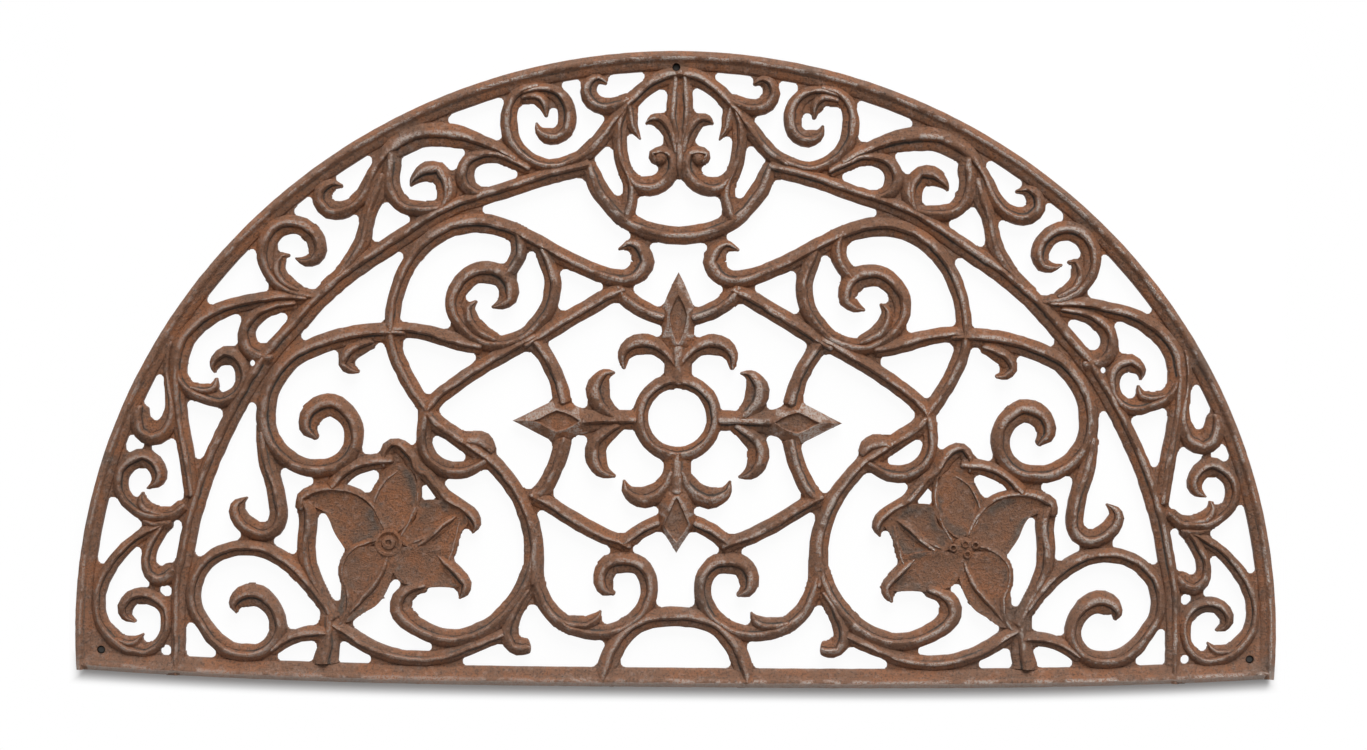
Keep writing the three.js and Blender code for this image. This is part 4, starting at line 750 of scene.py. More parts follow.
def bar_stations(points, side, lean, given):
    """Stations along a bar: crest, left edge, right edge, width and groove, in millimetres.

    The crest lies at the lean's share of the way from the left edge, and nearer the outside of a bend. The
    groove's value is 1 where it runs on the right of the crest and -1 on the left: on the inside of a bend,
    unless its side is given. A bar that ends on the middle line goes on into its mirror image.
    """
    if points[-1][0] == 0 != points[0][0]:
        points = points + [(-x, y, width) for x, y, width in points[-2::-1]]
    path = rounded_end(spline(points))
    path = rounded_end(path[::-1])[::-1]
    path = [Vector((side * p.x, p.y, p.z)) for p in path]
    lean = lean if side > 0 else 1 - lean
    edges, bends = [], []
    for i, spot in enumerate(path):
        before, after = path[max(i - 1, 0)], path[min(i + 1, len(path) - 1)]
        ahead = (after - before).xy.normalized()
        across = Vector((-ahead.y, ahead.x))
        reach = (after - before).xy.length / 2
        turn = 0.0
        if 0 < i < len(path) - 1:
            turn = -(spot - before).xy.angle_signed((after - spot).xy)
        bend = BEND_SHARE * reach / abs(turn) if abs(turn) > STRAIGHT else math.inf
        half = spot.z / 2
        left = min(half, bend) if turn > 0 else half
        right = min(half, bend) if turn < 0 else half
        edges.append((spot.xy + across * left, spot.xy - across * right, spot.z, ahead.x))
        bends.append(turn / reach)
    stations = []
    for i, (left, right, width, heading) in enumerate(edges):
        near = bends[max(i - BEND_NEAR, 0) : i + BEND_NEAR + 1]
        bend = math.tanh(BEND_GAIN * sum(near) / len(near))
        groove = math.tanh(GROOVE_BEND * -bend + heading) if given is None else side * given
        stations.append((left.lerp(right, lean + CREST_DRIFT * bend), left, right, width, groove))
    return stations


def rim_stations():
    outer = Vector((MAT_WIDTH / 2 - EDGE_INSET, MAT_DEPTH - ARCH_SPRING - EDGE_INSET))
    inner = Vector((MAT_WIDTH / 2 - RIM_WIDTH_SIDE, MAT_DEPTH - ARCH_SPRING - RIM_WIDTH_TOP))
    below = math.asin((ARCH_SPRING - SILL_BOW) / outer.y)
    stations = []
    for i in range(RIM_STATIONS + 1):
        angle = lerp(-below, math.pi + below, i / RIM_STATIONS)
        ray = Vector((math.cos(angle), math.sin(angle)))
        out = ray * outer + Vector((0, ARCH_SPRING))
        into = ray * inner + Vector((0, ARCH_SPRING))
        stations.append((out.lerp(into, RIM_CREST_SHARE), into, out, RIM_WIDTH_TOP, RIM_GROOVE))
    return stations


def sill_stations():
    half = MAT_WIDTH / 2 - RIM_WIDTH_SIDE / 2
    stations = []
    for i in range(SILL_STATIONS + 1):
        x = lerp(-half, half, i / SILL_STATIONS)
        low = SILL_BOW * abs(x / (MAT_WIDTH / 2)) ** SILL_BOW_POWER
        out = Vector((x, low + EDGE_INSET))
        into = Vector((x, low + SILL_WIDTH))
        stations.append((Vector((x, low + SILL_WIDTH * SILL_CREST_SHARE)), into, out, SILL_WIDTH, 0))
    return stations


def ring_stations(centre, radius, width):
    """Stations anticlockwise round a ring, with the groove on its inner side."""
    count = math.ceil(2 * math.pi * radius / STEP)
    stations = []
    for i in range(count):
        ray = Vector((math.cos(2 * math.pi * i / count), math.sin(2 * math.pi * i / count)))
        spots = [Vector(centre) + ray * r for r in (radius, radius - width / 2, radius + width / 2)]
        stations.append((*spots, width, -1))
    return stations


def all_rails():
    """The stations of every bar, each with whether the bar closes on itself."""
    rails = [(rim_stations(), False), (sill_stations(), False)]
    rails.append((ring_stations(ROSETTE_CENTRE, ROSETTE_RADIUS, ROSETTE_WIDTH), True))
    for name, points in BARS:
        sides = (1,) if points[-1][0] == 0 else (1, -1)
        lean, groove = CREST_LEANS.get(name, 0.5), GROOVES.get(name)
        rails += [(bar_stations(points, side, lean, groove), False) for side in sides]
    return rails


def turned_left(outline):
    """The outline anticlockwise."""
    area = sum(a.x * b.y - b.x * a.y for a, b in zip(outline, outline[1:] + outline[:1]))
    return outline if area > 0 else outline[::-1]


def petal_edge(outline, side):
    """A petal's smooth outline, on the right-hand or the left-hand side."""
    return [Vector((side * p.x, p.y)) for p in spline([(x, y, 0) for x, y in outline], True)]


def blade_outlines():
    """Each blade's outer outline and its lozenge, from one half of each and the axis that mirrors it."""
    for outer, inner, axis in BLADES:
        for side in (1, -1) if axis == "x" else (1,):
            outlines = []
            for half in (outer, inner):
                half = [Vector((side * x, y)) for x, y in half]
                if axis == "x":
                    other = [Vector((p.x, 2 * BLADE_LINE - p.y)) for p in half[-2:0:-1]]
                else:
                    other = [Vector((-p.x, p.y)) for p in half[-2:0:-1]]
                outlines.append(turned_left(half + other))
            yield outlines


def covered_strips(rails):
    """Pairs of lines, as arrays of points, with the bars and the plates lying between the lines of a pair."""
    strips = []
    for stations, cyclic in rails:
        left = np.array([station[1] for station in stations])
        right = np.array([station[2] for station in stations])
        if cyclic:
            left, right = np.vstack((left, left[:1])), np.vstack((right, right[:1]))
        strips.append((left, right))
    edges = [petal_edge(outline, side) for side in (1, -1) for _, outline in PETALS]
    for outer, _ in blade_outlines():
        edges.append([p.lerp(q, share) for p, q in zip(outer, outer[1:] + outer[:1]) for share in (0, 0.5)])
    for edge in map(np.array, edges):
        strips.append((edge, np.broadcast_to(edge.mean(0), edge.shape)))
    return strips


def footprint(rails):
    """Grid cells that the bars and plates cover, and the cells where two of them meet, as truth values."""
    shape = (int((MAT_DEPTH + 2 * GRID_MARGIN) / CELL), int((MAT_WIDTH + 2 * GRID_MARGIN) / CELL))
    count = np.zeros(shape, int)
    covered = np.zeros(shape, bool)
    for left, right in covered_strips(rails):
        own = np.zeros(shape, bool)
        for across in np.linspace(0, 1, SAMPLES_ACROSS):
            line = left + (right - left) * across
            for along in SAMPLES_ALONG:
                spots = line[:-1] + (line[1:] - line[:-1]) * along
                column = ((spots[:, 0] + MAT_WIDTH / 2 + GRID_MARGIN) / CELL).astype(int)
                row = ((spots[:, 1] + GRID_MARGIN) / CELL).astype(int)
                own[row, column] = True
        covered |= own
        count += grown(own, 1)
    return covered, count > 1


def grown(mask, radius):
    """The mask with a rim of this radius, in cells."""
    reach = int(radius)
    wider = mask.copy()
    for dy in range(-reach, reach + 1):
        for dx in range(-reach, reach + 1):
            if 0 < dx * dx + dy * dy <= radius * radius:
                wider |= np.roll(mask, (dy, dx), (0, 1))
    return wider


def web_cells(rails):
    """Grid cells of the corners where a disc of FILLET_RADIUS can't reach, and of narrow gaps."""
    covered, shared = footprint(rails)
    radius = FILLET_RADIUS / CELL
    closed = ~grown(~grown(covered, radius), radius)
    sturdy = grown(~grown(~closed, WEB_LEAST), WEB_LEAST)
    webs = grown((closed & ~covered) | shared, WEB_OVERLAP) & closed & sturdy
    rows, columns = np.indices(webs.shape)
    x, y = ((spots + 0.5) * CELL - GRID_MARGIN for spots in (columns, rows))
    for middle, height, reach in OPEN_GAPS:
        webs &= np.hypot(abs(x - MAT_WIDTH / 2) - middle, y - height) > reach
    for _ in range(WEB_PASSES):
        a, b, c, d = webs[:-1, :-1], webs[1:, :-1], webs[:-1, 1:], webs[1:, 1:]
        touching = (a & d & ~b & ~c) | (b & c & ~a & ~d)
        for part in (a, b, c, d):
            part |= touching
    return webs


def web_mesh(name, rails):
    """Flat webs with smoothed outlines, which run in a little under the bars."""
    sheet = bmesh.new()
    grid = {}
    for row, column in zip(*np.nonzero(web_cells(rails))):
        spots = []
        for key in ((row, column), (row, column + 1), (row + 1, column + 1), (row + 1, column)):
            if key not in grid:
                x = key[1] * CELL - GRID_MARGIN - MAT_WIDTH / 2
                grid[key] = sheet.verts.new(centred(x, key[0] * CELL - GRID_MARGIN, FOOT_HEIGHT + WEB_GAP))
            spots.append(grid[key])
        sheet.faces.new(spots)
    for _ in range(WEB_PASSES):
        bmesh.ops.smooth_vert(sheet, verts=sheet.verts, factor=0.5, use_axis_x=True, use_axis_y=True)
    bmesh.ops.dissolve_limit(sheet, angle_limit=WEB_FLAT, verts=sheet.verts, edges=sheet.edges)
    top = bmesh.ops.extrude_face_region(sheet, geom=sheet.faces[:], use_keep_orig=True)["geom"]
    for vert in top:
        if isinstance(vert, bmesh.types.BMVert):
            vert.co.z += (WEB_HEIGHT - WEB_GAP) * MM
    bmesh.ops.recalc_face_normals(sheet, faces=sheet.faces)
    mesh = bpy.data.meshes.new(name)
    sheet.to_mesh(mesh)
    sheet.free()
    return mesh


def new_mesh(name, verts, edges, faces, **values):
    """A mesh with a number of each of these names at every point."""
    mesh = bpy.data.meshes.new(name)
    mesh.from_pydata(verts, edges, faces)
    for key, given in values.items():
        mesh.attributes.new(key, "FLOAT", "POINT").data.foreach_set("value", given)
    return mesh


def rail_mesh(name, rails):
    """A mesh of edges, one chain for each rail. Each vertex is a station and carries its section's places."""
    spots, edges, left, right, width, groove, hollow = [], [], [], [], [], [], []
    for number, (stations, cyclic) in enumerate(rails):
        first = len(spots)
        for middle, one, other, across, side in stations:
            spots.append(centred(*middle))
            left.extend(centred(*one))
            right.extend(centred(*other))
            width.append(across * MM)
            groove.append(side)
            hollow.append(0.0 if number < PLAIN_RAILS else 1.0)
        last = len(spots) - 1
        edges += [(i, i + 1) for i in range(first, last)]
        if cyclic:
            edges.append((last, first))
    mesh = new_mesh(name, spots, edges, [], width=width, groove=groove, hollow=hollow)
    crest = [value for spot in spots for value in spot]
    for key, values in (("crest", crest), ("left", left), ("right", right)):
        mesh.attributes.new(key, "FLOAT_VECTOR", "POINT").data.foreach_set("vector", values)
    return mesh


def add_rings(verts, faces, rings):
    """A closed body between rings of points, with a fan over each end."""
    count = len(rings[0])
    first = len(verts)
    for ring in rings:
        verts += ring
    for r in range(len(rings) - 1):
        for i in range(count):
            a, b = first + r * count + i, first + r * count + (i + 1) % count
            faces.append((a, b, b + count, a + count))
    for ring, way in ((0, -1), (len(rings) - 1, 1)):
        verts.append(sum(rings[ring], Vector()) / count)
        for i in range(count):
            a, b = first + ring * count + i, first + ring * count + (i + 1) % count
            faces.append((a, b, len(verts) - 1)[::way])


def petal_rings(outline, slope, side):
    """Rings of a petal from its underside, up its wall and in over its cupped face."""
    edge = turned_left(petal_edge(outline, side))
    middle = sum(edge, Vector((0, 0))) / len(edge)
    rings = [[centred(*p, FOOT_HEIGHT) for p in edge]]
    for inward in PETAL_INSETS:
        ring = []
        for p in edge:
            spot = p.lerp(middle, inward)
            tilt = side * slope[0] * (spot - middle).x + slope[1] * (spot - middle).y
            dish = PETAL_DISH * math.sin(math.pi * min(inward, 0.5)) ** 2
            ring.append(centred(*spot, PETAL_TOP + tilt - dish))
        rings.append(ring)
    return rings


def blade_rings(outer, inner):
    """Rings of a blade: its wall, its slopes up to the lozenge's edge and the sunken lozenge."""
    middle = sum(inner, Vector((0, 0))) / len(inner)
    sunken = [p.lerp(middle, BLADE_BEVEL) for p in inner]
    heights = ((outer, 0), (outer, BLADE_WALL), (inner, BLADE_EDGE), (sunken, BLADE_FLOOR))
    return [[centred(*p, FOOT_HEIGHT + height) for p in outline] for outline, height in heights]


def plate_mesh(name):
    """The petals, the corner webs and the blades round the rosette, each ring with its wear and its
    darkening.
    """
    verts, faces, ridge, dirt = [], [], [], []

    def add(rings, worn, darkened):
        add_rings(verts, faces, rings)
        for values, given in ((ridge, worn), (dirt, darkened)):
            for value in given:
                values.extend([value] * len(rings[0]))
            values.extend((given[0], given[-1]))

    for side in (1, -1):
        for slope, outline in PETALS:
            add(petal_rings(outline, slope, side), [0] * len(PETAL_DARKENING), PETAL_DARKENING)
        web = turned_left([Vector((side * x, y)) for x, y in CORNER_WEB])
        add([[centred(*p, FOOT_HEIGHT + h) for p in web] for h in (0, CORNER_WEB_HEIGHT)], (0, 0), (0, 0))
    for outer, inner in blade_outlines():
        add(blade_rings(outer, inner), BLADE_WEAR, BLADE_DARKENING)
    return new_mesh(name, verts, [], faces, ridge=ridge, dirt=dirt)


def round_mesh(name, bodies):
    """Turned bodies about upright axes, each as (centre, profile of radius and height from the floor)."""
    verts, faces = [], []
    for (x, y), profile in bodies:
        rings = []
        for radius, height in profile:
            ring = []
            for i in range(TURNED_SIDES):
                angle = 2 * math.pi * i / TURNED_SIDES
                ring.append(centred(x + radius * math.cos(angle), y + radius * math.sin(angle), height))
            rings.append(ring)
        add_rings(verts, faces, rings)
    return new_mesh(name, verts, [], faces)


def hole_bodies():
    """What the holes for the feet's stems and the drain holes are cut with."""
    holes = [(spot, FOOT_HOLE_RADIUS) for spot in FEET.values()]
    holes += [(spot, DRAIN_RADIUS) for spot in DRAIN_HOLES]
    return [(spot, [(radius, height) for height in CUT_REACH]) for spot, radius in holes]


def boss_bodies():
    """The lilies' buttons, plain with studs on the right and ringed on the left, and the volutes' eyes."""
    x, y = KNOB_CENTRE
    bosses = [((x, y), PLAIN_BUTTON), ((-x, y), RINGED_BUTTON)]
    bosses += [((x + dx, y + dy), STUD) for dx, dy in STUDS]
    return bosses + [((side * VOLUTE_EYE[0], VOLUTE_EYE[1]), EYE) for side in (1, -1)]


def casting_group():
    """An empty tree with the casting's inputs and output."""
    tree = bpy.data.node_groups.new("Roof Casting", "GeometryNodeTree")
    face = tree.interface
    face.new_socket("Rails", in_out="INPUT", socket_type="NodeSocketGeometry")
    for name in ("Plates", "Webs", "Cuts", "Knobs"):
        face.new_socket(name, in_out="INPUT", socket_type="NodeSocketObject")
    for name, default in (
        ("Underside", FOOT_HEIGHT * MM),
        ("Wall Height", WALL_HEIGHT),
        ("Crest Rise", CREST_RISE),
        ("Crest Slope", CREST_SLOPE),
        ("Unevenness", UNEVENNESS),
        ("Seed", SEED),
    ):
        face.new_socket(name, in_out="INPUT", socket_type="NodeSocketFloat").default_value = default
    face.new_socket("Finish", in_out="INPUT", socket_type="NodeSocketMaterial")
    face.new_socket("Casting", in_out="OUTPUT", socket_type="NodeSocketGeometry")
    return tree


def casting_tree():
    """Sweeps a roof-shaped section along every rail and joins all bars, plates and knobs into one body."""
    tree = casting_group()
    nodes = Nodes(tree)
    given = nodes.add("NodeGroupInput")

    def named(kind, name):
        return nodes.add("GeometryNodeInputNamedAttribute", {"data_type": kind}, {"Name": name})

    def stored(geometry, kind, name, value):
        settings = {"data_type": kind, "domain": "POINT"}
        values = {"Geometry": geometry, "Name": name, "Value": value}
        return nodes.add("GeometryNodeStoreNamedAttribute", settings, values)

    def island():
        return nodes.add("GeometryNodeInputMeshIsland")["Island Index"]

    def parts(geometry):
        values = {"Selection": True, 0: geometry, "Group ID": island()}
        return nodes.add("GeometryNodeSplitToInstances", {"domain": "FACE"}, values)

    def body(name):
        return parts(nodes.add("GeometryNodeObjectInfo", {}, {"Object": given[name]})["Geometry"])

    def boolean(operation, values):
        return nodes.add("GeometryNodeMeshBoolean", {"operation": operation, "solver": "MANIFOLD"}, values)

    rails = nodes.add("GeometryNodeMeshToCurve", {}, {"Mesh": given["Rails"]})
    ring = nodes.add("GeometryNodeCurvePrimitiveCircle", {}, {"Resolution": len(SECTION), "Radius": MM})
    ring = stored(ring, "INT", "corner", nodes.add("GeometryNodeInputIndex"))
    curves = {"Curve": rails, "Profile Curve": ring, "Fill Caps": True}
    swept = nodes.add("GeometryNodeFlipFaces", {}, {"Mesh": nodes.add("GeometryNodeCurveToMesh", {}, curves)})

    section = nodes.add("GeometryNodeIndexSwitch", {"data_type": "VECTOR"}).socket.node
    while len(section.index_switch_items) < len(SECTION):
        section.index_switch_items.new()
    nodes.put(section.inputs["Index"], named("INT", "corner"))
    for i, spot in enumerate(SECTION):
        nodes.put(section.inputs[i + 1], spot)
    place = nodes.split(Link(nodes, section.outputs[0]))
    across, wall = place["X"], place["Y"]
    right_hand = across > 0
    hollow = named("FLOAT", "hollow")
    planed = right_hand * (1 - hollow)
    side = right_hand * 2 - 1
    stepped = lerp(side * named("FLOAT", "groove") * 0.5 + 0.5, 0.0, planed)
    grooved = stepped * (abs(across) > STEP_PLACE[0]) * (abs(across) < STEP_PLACE[1])
    fall = lerp(PLAIN_FALL, OUTER_FALL, planed)
    rise = lerp(1 - abs(across) * fall, place["Z"] - grooved * GROOVE_DEPTH, stepped) * (wall > TOP_SHARE)

    crest, left, right = (named("FLOAT_VECTOR", name) for name in ("crest", "left", "right"))
    plan = nodes.mix("VECTOR", abs(across), crest, nodes.mix("VECTOR", right_hand, left, right))
    top = nodes.sum("MINIMUM", named("FLOAT", "width") * given["Crest Slope"], given["Crest Rise"])
    height = given["Underside"] + wall * given["Wall Height"] + rise * top

    def noise(scale):
        values = {"Vector": plan, "W": given["Seed"], "Scale": scale, "Detail": NOISE_DETAIL}
        return nodes.add("ShaderNodeTexNoise", {"noise_dimensions": "4D"}, values)

    rough = noise(ROUGH_SCALE)
    shift = nodes.split(rough["Color"] - NOISE_MEAN)
    amount = given["Unevenness"] * (ROUGH_PLAIN + hollow * ROUGH_BAR)
    drift = nodes.split(noise(WANDER_SCALE)["Color"] - NOISE_MEAN)
    inner = (1 - abs(across)) * given["Unevenness"] * WANDER_CREST
    lift = {axis: shift[axis] * amount + drift[axis] * inner for axis in ("X", "Y")}
    lift["Z"] = height - rough["Fac"] * rise * given["Unevenness"] * ROUGH_CREST
    spots = plan + nodes.add("ShaderNodeCombineXYZ", {}, lift)
    swept = nodes.add("GeometryNodeSetPosition", {}, {"Geometry": swept, "Position": spots})
    swept = stored(swept, "FLOAT", "ridge", lerp(rise, (wall > UPPER_SHARE) * OUTER_RIDGE, planed))
    swept = stored(swept, "FLOAT", "dirt", grooved * lerp(PLAIN_DARKENING, 1, hollow))

    joined = boolean("UNION", {"Mesh 2": [parts(swept), body("Plates"), body("Webs")]})
    cut = boolean("DIFFERENCE", {"Mesh 1": joined, "Mesh 2": body("Cuts")})
    whole = boolean("UNION", {"Mesh 2": [cut, body("Knobs")]})
    counted = {"Value": 1, "Group ID": island()}
    faces = nodes.add("GeometryNodeAccumulateField", {"data_type": "INT", "domain": "FACE"}, counted)["Total"]
    loose = {"Geometry": whole, "Selection": faces < LEAST_FACES}
    whole = nodes.add("GeometryNodeDeleteGeometry", {"domain": "FACE"}, loose)
    sharp = nodes.add("GeometryNodeInputMeshEdgeAngle")["Unsigned Angle"] > SHARP_ANGLE
    shaded = nodes.add("GeometryNodeSetShadeSmooth", {}, {"Geometry": whole, "Shade Smooth": True})
    edges = {"Geometry": shaded, "Selection": sharp, "Shade Smooth": False}
    shaded = nodes.add("GeometryNodeSetShadeSmooth", {"domain": "EDGE"}, edges)
    real = nodes.add("GeometryNodeRealizeInstances", {}, {"Geometry": shaded})
    done = nodes.add("GeometryNodeSetMaterial", {}, {"Geometry": real, "Material": given["Finish"]})
    nodes.add("NodeGroupOutput", {}, {"Casting": done})
    return tree


def new_material(name):
    """A material without nodes, and what adds its nodes."""
    material = bpy.data.materials.new(name)
    material.use_nodes = True
    material.node_tree.nodes.clear()
    return material, Nodes(material.node_tree)


def iron_material(settings):
    """Rust-brown cast iron in layers of colour: blotches of rust, grey patina, specks, wear and dark lines,
    and
    painted light: paler outer slopes on the rim and the sill, a paler front, and more pale wear towards the
    lamp.

    The attribute "ridge" says where the crests are worn, and by its values above 1 the outer slopes of the
    rim and the sill. The other attribute says where the dark lines in the steps and the patina beside them
    lie.
    """
    material, nodes = new_material("Rusty Cast Iron")
    place = nodes.add("ShaderNodeTexCoord")["Object"]
    where = nodes.split(place)
    ridge, dirt = (
        nodes.add("ShaderNodeAttribute", {"attribute_name": name})["Fac"] for name in ("ridge", "dirt")
    )

    def noise(scale, detail, roughness):
        values = {"Vector": place, "Scale": scale, "Detail": detail, "Roughness": roughness}
        return nodes.add("ShaderNodeTexNoise", {}, values)

    blotch = nodes.ramp(noise(*BLOTCH), *BLOTCH_RANGE)
    patch = nodes.ramp(noise(*PATCH), *PATCH_RANGE)
    flake, grit = noise(*FLAKE), noise(*GRIT)
    spread = ridge + (noise(*SPREAD) - NOISE_MEAN) * SPREAD_GAIN
    # Painted light: the real pale wear is made stronger towards the right and the back, where the lamp
    # stands.
    lamp_side_light = nodes.ramp(where["X"] + where["Y"] * LAMP_SIDE_LEAN, *LAMP_SIDE_RANGE) * 0.5 + 0.5
    worn = nodes.ramp(spread, *WORN_RIDGE) * nodes.ramp(grit, *WORN_GRIT)
    worn = worn * nodes.ramp(blotch + flake, *WORN_FLAKE)
    slope = nodes.ramp(ridge, *SLOPE_RANGE)
    worn = worn * lamp_side_light * (1 - slope)
    # Painted light: the outer slopes of the rim and the sill are painted paler in the pale worn colour, most
    # on the sill, whose outer slope faces away from the lamp.
    painted_slope_light = slope * (nodes.ramp(grit, *SLOPE_LIGHT_GRIT) * 0.5 + 0.5)
    painted_slope_light = painted_slope_light * lerp(SILL_PAINTED_LIGHT, RIM_PAINTED_LIGHT, nodes.ramp(where["Y"], *SLOPE_LIGHT_END))
    layers = (
        (nodes.ramp(noise(*CLOUD), *CLOUD_RANGE), CLOUD_SHARE, settings.patina_colour),
        (nodes.ramp(dirt, *PATCH_DARKENING) * patch, PATCH_SHARE, settings.patina_colour),
        (nodes.ramp(flake, *FLAKE_RANGE), FLAKE_SHARE, settings.worn_and_lit_colour),
        (nodes.ramp(grit, *GRIT_RANGE), GRIT_SHARE, settings.dark_colour),
        # Painted light: the front of the mat is painted a little paler, as if lit more.
        (1 - nodes.ramp(where["Y"], *FRONT_LIGHT_RANGE), FRONT_LIGHT_SHARE, settings.worn_and_lit_colour),
        (worn, WORN_SHARE, settings.worn_and_lit_colour),
        (painted_slope_light, 1, settings.worn_and_lit_colour),
        # Dark lines in the grooves beside the crests' steps.
        (nodes.ramp(dirt, *LINE_DARKENING) * nodes.ramp(flake, *LINE_FLAKE), LINE_SHARE, settings.dark_colour),
    )
    colour = nodes.mix("RGBA", blotch, tuple(settings.iron_colour), tuple(settings.rust_colour))
    for mask, share, over in layers:
        colour = nodes.mix("RGBA", mask * share, colour, tuple(over))
    bump = nodes.add("ShaderNodeBump", {}, {"Height": flake, "Strength": 1.0, "Distance": FLAKE_RELIEF})
    bump = nodes.add(
        "ShaderNodeBump", {}, {"Height": grit, "Strength": 1.0, "Distance": GRIT_RELIEF, "Normal": bump}
    )
    finish = {
        "Base Color": colour,
        "Roughness": IRON_ROUGHNESS - worn * WORN_POLISH,
        "Metallic": worn * WORN_METAL + IRON_METAL,
        "Normal": bump,
    }
    shader = nodes.add("ShaderNodeBsdfPrincipled", {}, finish)
    nodes.add("ShaderNodeOutputMaterial", {}, {"Surface": shader})
    return material


def rubber_material(settings):
    material, nodes = new_material("Black Rubber")
    place = nodes.add("ShaderNodeTexCoord")["Object"]
    grain = nodes.add(
        "ShaderNodeTexNoise", {}, {"Vector": place, "Scale": RUBBER_SCALE, "Detail": RUBBER_DETAIL}
    )
    dark = tuple(settings.rubber_colour)
    colour = nodes.mix("RGBA", grain, dark, tuple(RUBBER_PALER * c for c in dark))
    relief = {"Height": grain, "Strength": RUBBER_BUMP, "Distance": RUBBER_RELIEF}
    bump = nodes.add("ShaderNodeBump", {}, relief)
    finish = {"Base Color": colour, "Roughness": RUBBER_ROUGHNESS, "Normal": bump}
    nodes.add("ShaderNodeOutputMaterial", {}, {"Surface": nodes.add("ShaderNodeBsdfPrincipled", {}, finish)})
    return material


def floor_material():
    """White for the camera and in reflections, apart from the shadow before the sill and faintly below."""
    material, nodes = new_material("White Floor")
    where = nodes.split(nodes.add("ShaderNodeTexCoord")["Object"])
    half = MAT_DEPTH / 2
    bow = (abs(where["X"]) * (2 / MAT_WIDTH / MM)) ** SILL_BOW_POWER * (SILL_BOW * MM)
    depth = where["Y"] - bow
    behind = nodes.ramp(depth, -half * MM, -(half - SILL_WIDTH) * MM)
    before = nodes.ramp(depth, -(half + SHADOW_REACH) * MM, -(half + SHADOW_EDGE) * MM)
    aside = nodes.ramp(
        abs(where["X"]), (MAT_WIDTH / 2 - SHADOW_SIDE) * MM, (MAT_WIDTH / 2 + SHADOW_SIDE) * MM
    )
    away = nodes.sum("MAXIMUM", nodes.sum("MAXIMUM", behind * LATTICE_WHITE, 1 - before), aside)
    ray = nodes.add("ShaderNodeLightPath")
    seen = nodes.sum("MAXIMUM", ray["Is Glossy Ray"], ray["Is Transmission Ray"])
    seen = nodes.sum("MAXIMUM", ray["Is Camera Ray"], seen)
    paper = nodes.add("ShaderNodeBsdfDiffuse", {}, {"Color": FLOOR_WHITE})
    glow = nodes.add("ShaderNodeEmission", {}, {"Color": WHITE, "Strength": 1.0})
    both = nodes.add("ShaderNodeMixShader", {}, {0: seen * away, 1: paper, 2: glow})
    nodes.add("ShaderNodeOutputMaterial", {}, {"Surface": both})
    return material


def plain_object(name, mesh):
    thing = bpy.data.objects.new(name, mesh)
    bpy.context.scene.collection.objects.link(thing)
    return thing


def colour_property(name, description, default):
    return bpy.props.FloatVectorProperty(
        name=name, description=description, subtype="COLOR", size=4, default=(*default, 1)
    )


class MatSettings(bpy.types.PropertyGroup):
    wall_height: bpy.props.FloatProperty(
        name="Wall height", description="Height of a bar's upright sides", default=WALL_HEIGHT, unit="LENGTH"
    )
    crest_rise: bpy.props.FloatProperty(
        name="Crest rise", description="Height of a wide bar's crest above its sides", default=CREST_RISE,
        unit="LENGTH",
    )
    crest_slope: bpy.props.FloatProperty(
        name="Crest slope", description="Rise of a narrow bar's crest as a share of its width",
        default=CREST_SLOPE,
    )
    unevenness: bpy.props.FloatProperty(
        name="Unevenness", description="How far the sand mould leaves the bars rough", default=UNEVENNESS,
        unit="LENGTH",
    )
    iron_colour: colour_property("Iron", "Brown of the iron", (0.205, 0.096, 0.051))
    rust_colour: colour_property("Rust", "Redder brown in blotches", (0.27, 0.106, 0.044))
    # Colour of the real worn crests, also used as painted light on the outer slopes of the rim and the sill
    # and on the front.
    worn_and_lit_colour: colour_property("Worn", "Pale grey brown of the worn crests", (0.52, 0.45, 0.4))
    dark_colour: colour_property("Dark", "Dark specks and lines", (0.03, 0.022, 0.018))
    patina_colour: colour_property("Patina", "Grey of the patches beside the crests", (0.075, 0.067, 0.055))
    rubber_colour: colour_property("Rubber", "Black of the feet", (0.02, 0.018, 0.016))
    light_power: bpy.props.FloatProperty(
        name="Light", description="Power of the soft light above the arch", default=LIGHT_POWER, unit="POWER"
    )


class DOORMAT_OT_casting(bpy.types.Operator):
    """Build the iron casting: rim, sill, scrolls, flowers and rosette in one body"""

    bl_idname = "door_mat.casting"
    bl_label = "Iron Casting"

    def execute(self, context):
        settings = context.scene.door_mat
        rails = all_rails()
        helpers = {
            "Plates": plain_object("plates", plate_mesh("plates")),
            "Webs": plain_object("webs", web_mesh("webs", rails)),
            "Cuts": plain_object("cuts", round_mesh("cuts", hole_bodies())),
            "Knobs": plain_object("knobs", round_mesh("knobs", boss_bodies())),
        }
        given = {
            **helpers,
            "Wall Height": settings.wall_height,
            "Crest Rise": settings.crest_rise,
            "Crest Slope": settings.crest_slope,
            "Unevenness": settings.unevenness,
            "Finish": iron_material(settings),
        }
        rough = plain_object("rails", rail_mesh("rails", rails))
        tree = casting_tree()
        modifier = rough.modifiers.new("Roof Casting", "NODES")
        modifier.node_group = tree
        sockets = {item.name: item.identifier for item in tree.interface.items_tree if item.in_out == "INPUT"}
        for name, value in given.items():
            modifier[sockets[name]] = value
        mesh = bpy.data.meshes.new_from_object(rough.evaluated_get(context.evaluated_depsgraph_get()))
        mesh.name = "casting"
        casting = plain_object("casting", mesh)
        for thing in (rough, *helpers.values()):
            bpy.data.objects.remove(thing)
        iron = [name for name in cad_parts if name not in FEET]
        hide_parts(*iron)
        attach(casting, "root")
        return {"FINISHED"}


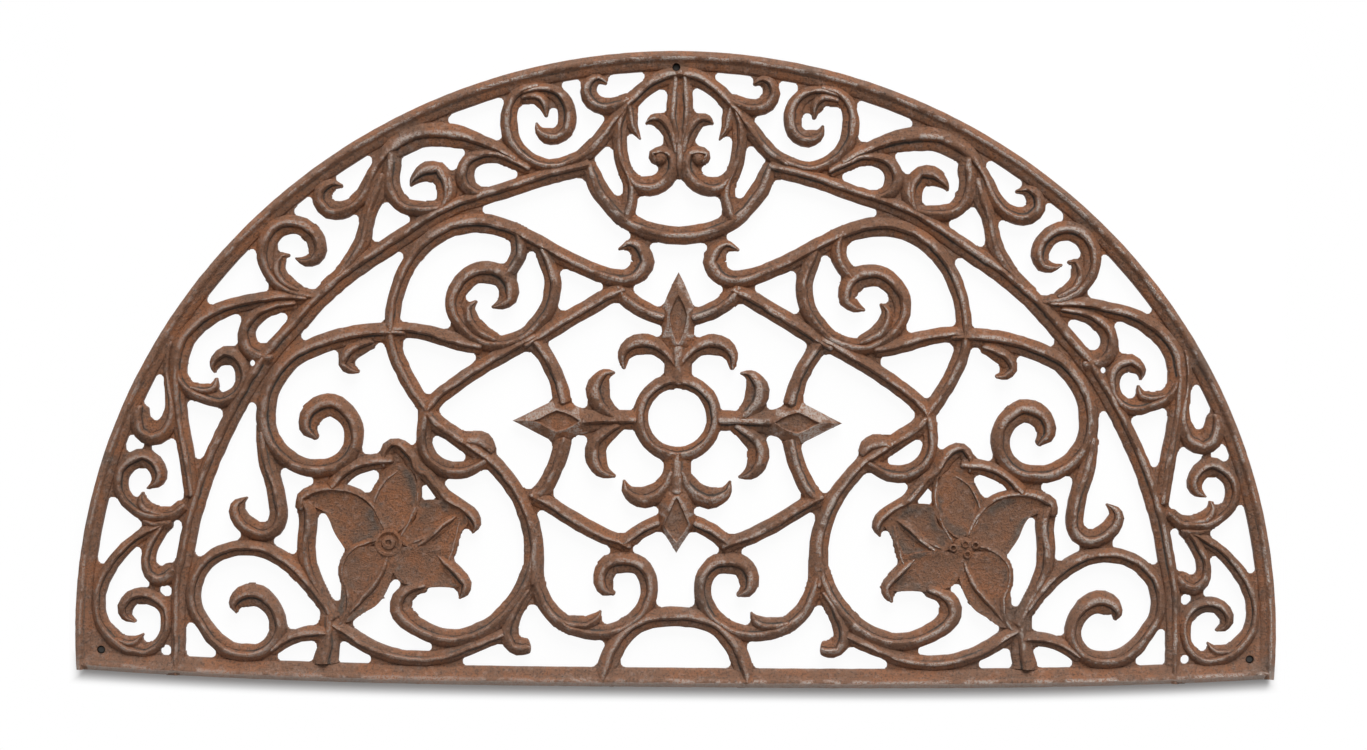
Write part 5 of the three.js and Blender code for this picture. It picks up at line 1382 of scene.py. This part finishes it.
class DOORMAT_OT_feet(bpy.types.Operator):
    """Build the three rubber feet with their stems"""

    bl_idname = "door_mat.feet"
    bl_label = "Rubber Feet"

    def execute(self, context):
        finish = rubber_material(context.scene.door_mat)
        for name, spot in FEET.items():
            mesh = round_mesh(name + "_rubber", [(spot, FOOT)])
            mesh.materials.append(finish)
            mesh.shade_smooth()
            mesh.set_sharp_from_angle(angle=FOOT_SHARP_ANGLE)
            foot = plain_object(name + "_rubber", mesh)
            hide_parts(name)
            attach(foot, "root")
        return {"FINISHED"}


class DOORMAT_OT_stage(bpy.types.Operator):
    """Set the white floor, the soft light and the camera straight above the mat"""

    bl_idname = "door_mat.stage"
    bl_label = "Floor, Light and Camera"

    def execute(self, context):
        scene = context.scene
        scene.view_settings.view_transform = "Standard"
        floor_mesh = bpy.data.meshes.new("floor")
        spots = [(x * FLOOR_REACH, y * FLOOR_REACH, 0) for x, y in ((-1, -1), (1, -1), (1, 1), (-1, 1))]
        floor_mesh.from_pydata(spots, [], [(0, 1, 2, 3)])
        floor_mesh.materials.append(floor_material())
        floor = plain_object("floor", floor_mesh)

        lamp = bpy.data.lights.new("soft light", "AREA")
        lamp.shape = "RECTANGLE"
        lamp.size, lamp.size_y = LIGHT_SIZE
        lamp.energy = scene.door_mat.light_power
        light = plain_object("soft light", lamp)
        light.location = LIGHT_SPOT
        light.rotation_euler = (-light.location).to_track_quat("-Z", "Y").to_euler()

        world = bpy.data.worlds.new("studio")
        world.use_nodes = True
        world.node_tree.nodes.clear()
        nodes = Nodes(world.node_tree)
        sky = nodes.add("ShaderNodeBackground", {}, {"Color": WHITE, "Strength": SKY_STRENGTH})
        nodes.add("ShaderNodeOutputWorld", {}, {"Surface": sky})
        scene.world = world

        lens = bpy.data.cameras.new("camera")
        lens.lens = LENS
        camera = plain_object("camera", lens)
        camera.location = CAMERA_SPOT
        camera.rotation_euler = (0, 0, CAMERA_TURN)
        scene.camera = camera
        return {"FINISHED"}


class DOORMAT_PT_panel(bpy.types.Panel):
    """The door mat's operators and sizes"""

    bl_label = "Cast Iron Door Mat"
    bl_idname = "DOORMAT_PT_panel"
    bl_space_type = "VIEW_3D"
    bl_region_type = "UI"
    bl_category = "Door Mat"

    def draw(self, context):
        for operator in (DOORMAT_OT_casting, DOORMAT_OT_feet, DOORMAT_OT_stage):
            self.layout.operator(operator.bl_idname)
        for name in MatSettings.__annotations__:
            self.layout.prop(context.scene.door_mat, name)


CLASSES = (MatSettings, DOORMAT_OT_casting, DOORMAT_OT_feet, DOORMAT_OT_stage, DOORMAT_PT_panel)


def register():
    for cls in CLASSES:
        bpy.utils.register_class(cls)
    bpy.types.Scene.door_mat = bpy.props.PointerProperty(type=MatSettings)


def unregister():
    del bpy.types.Scene.door_mat
    for cls in reversed(CLASSES):
        bpy.utils.unregister_class(cls)


def main():
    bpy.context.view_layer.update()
    register()
    bpy.ops.door_mat.casting()
    bpy.ops.door_mat.feet()
    bpy.ops.door_mat.stage()


if __name__ == "__main__":
    main()
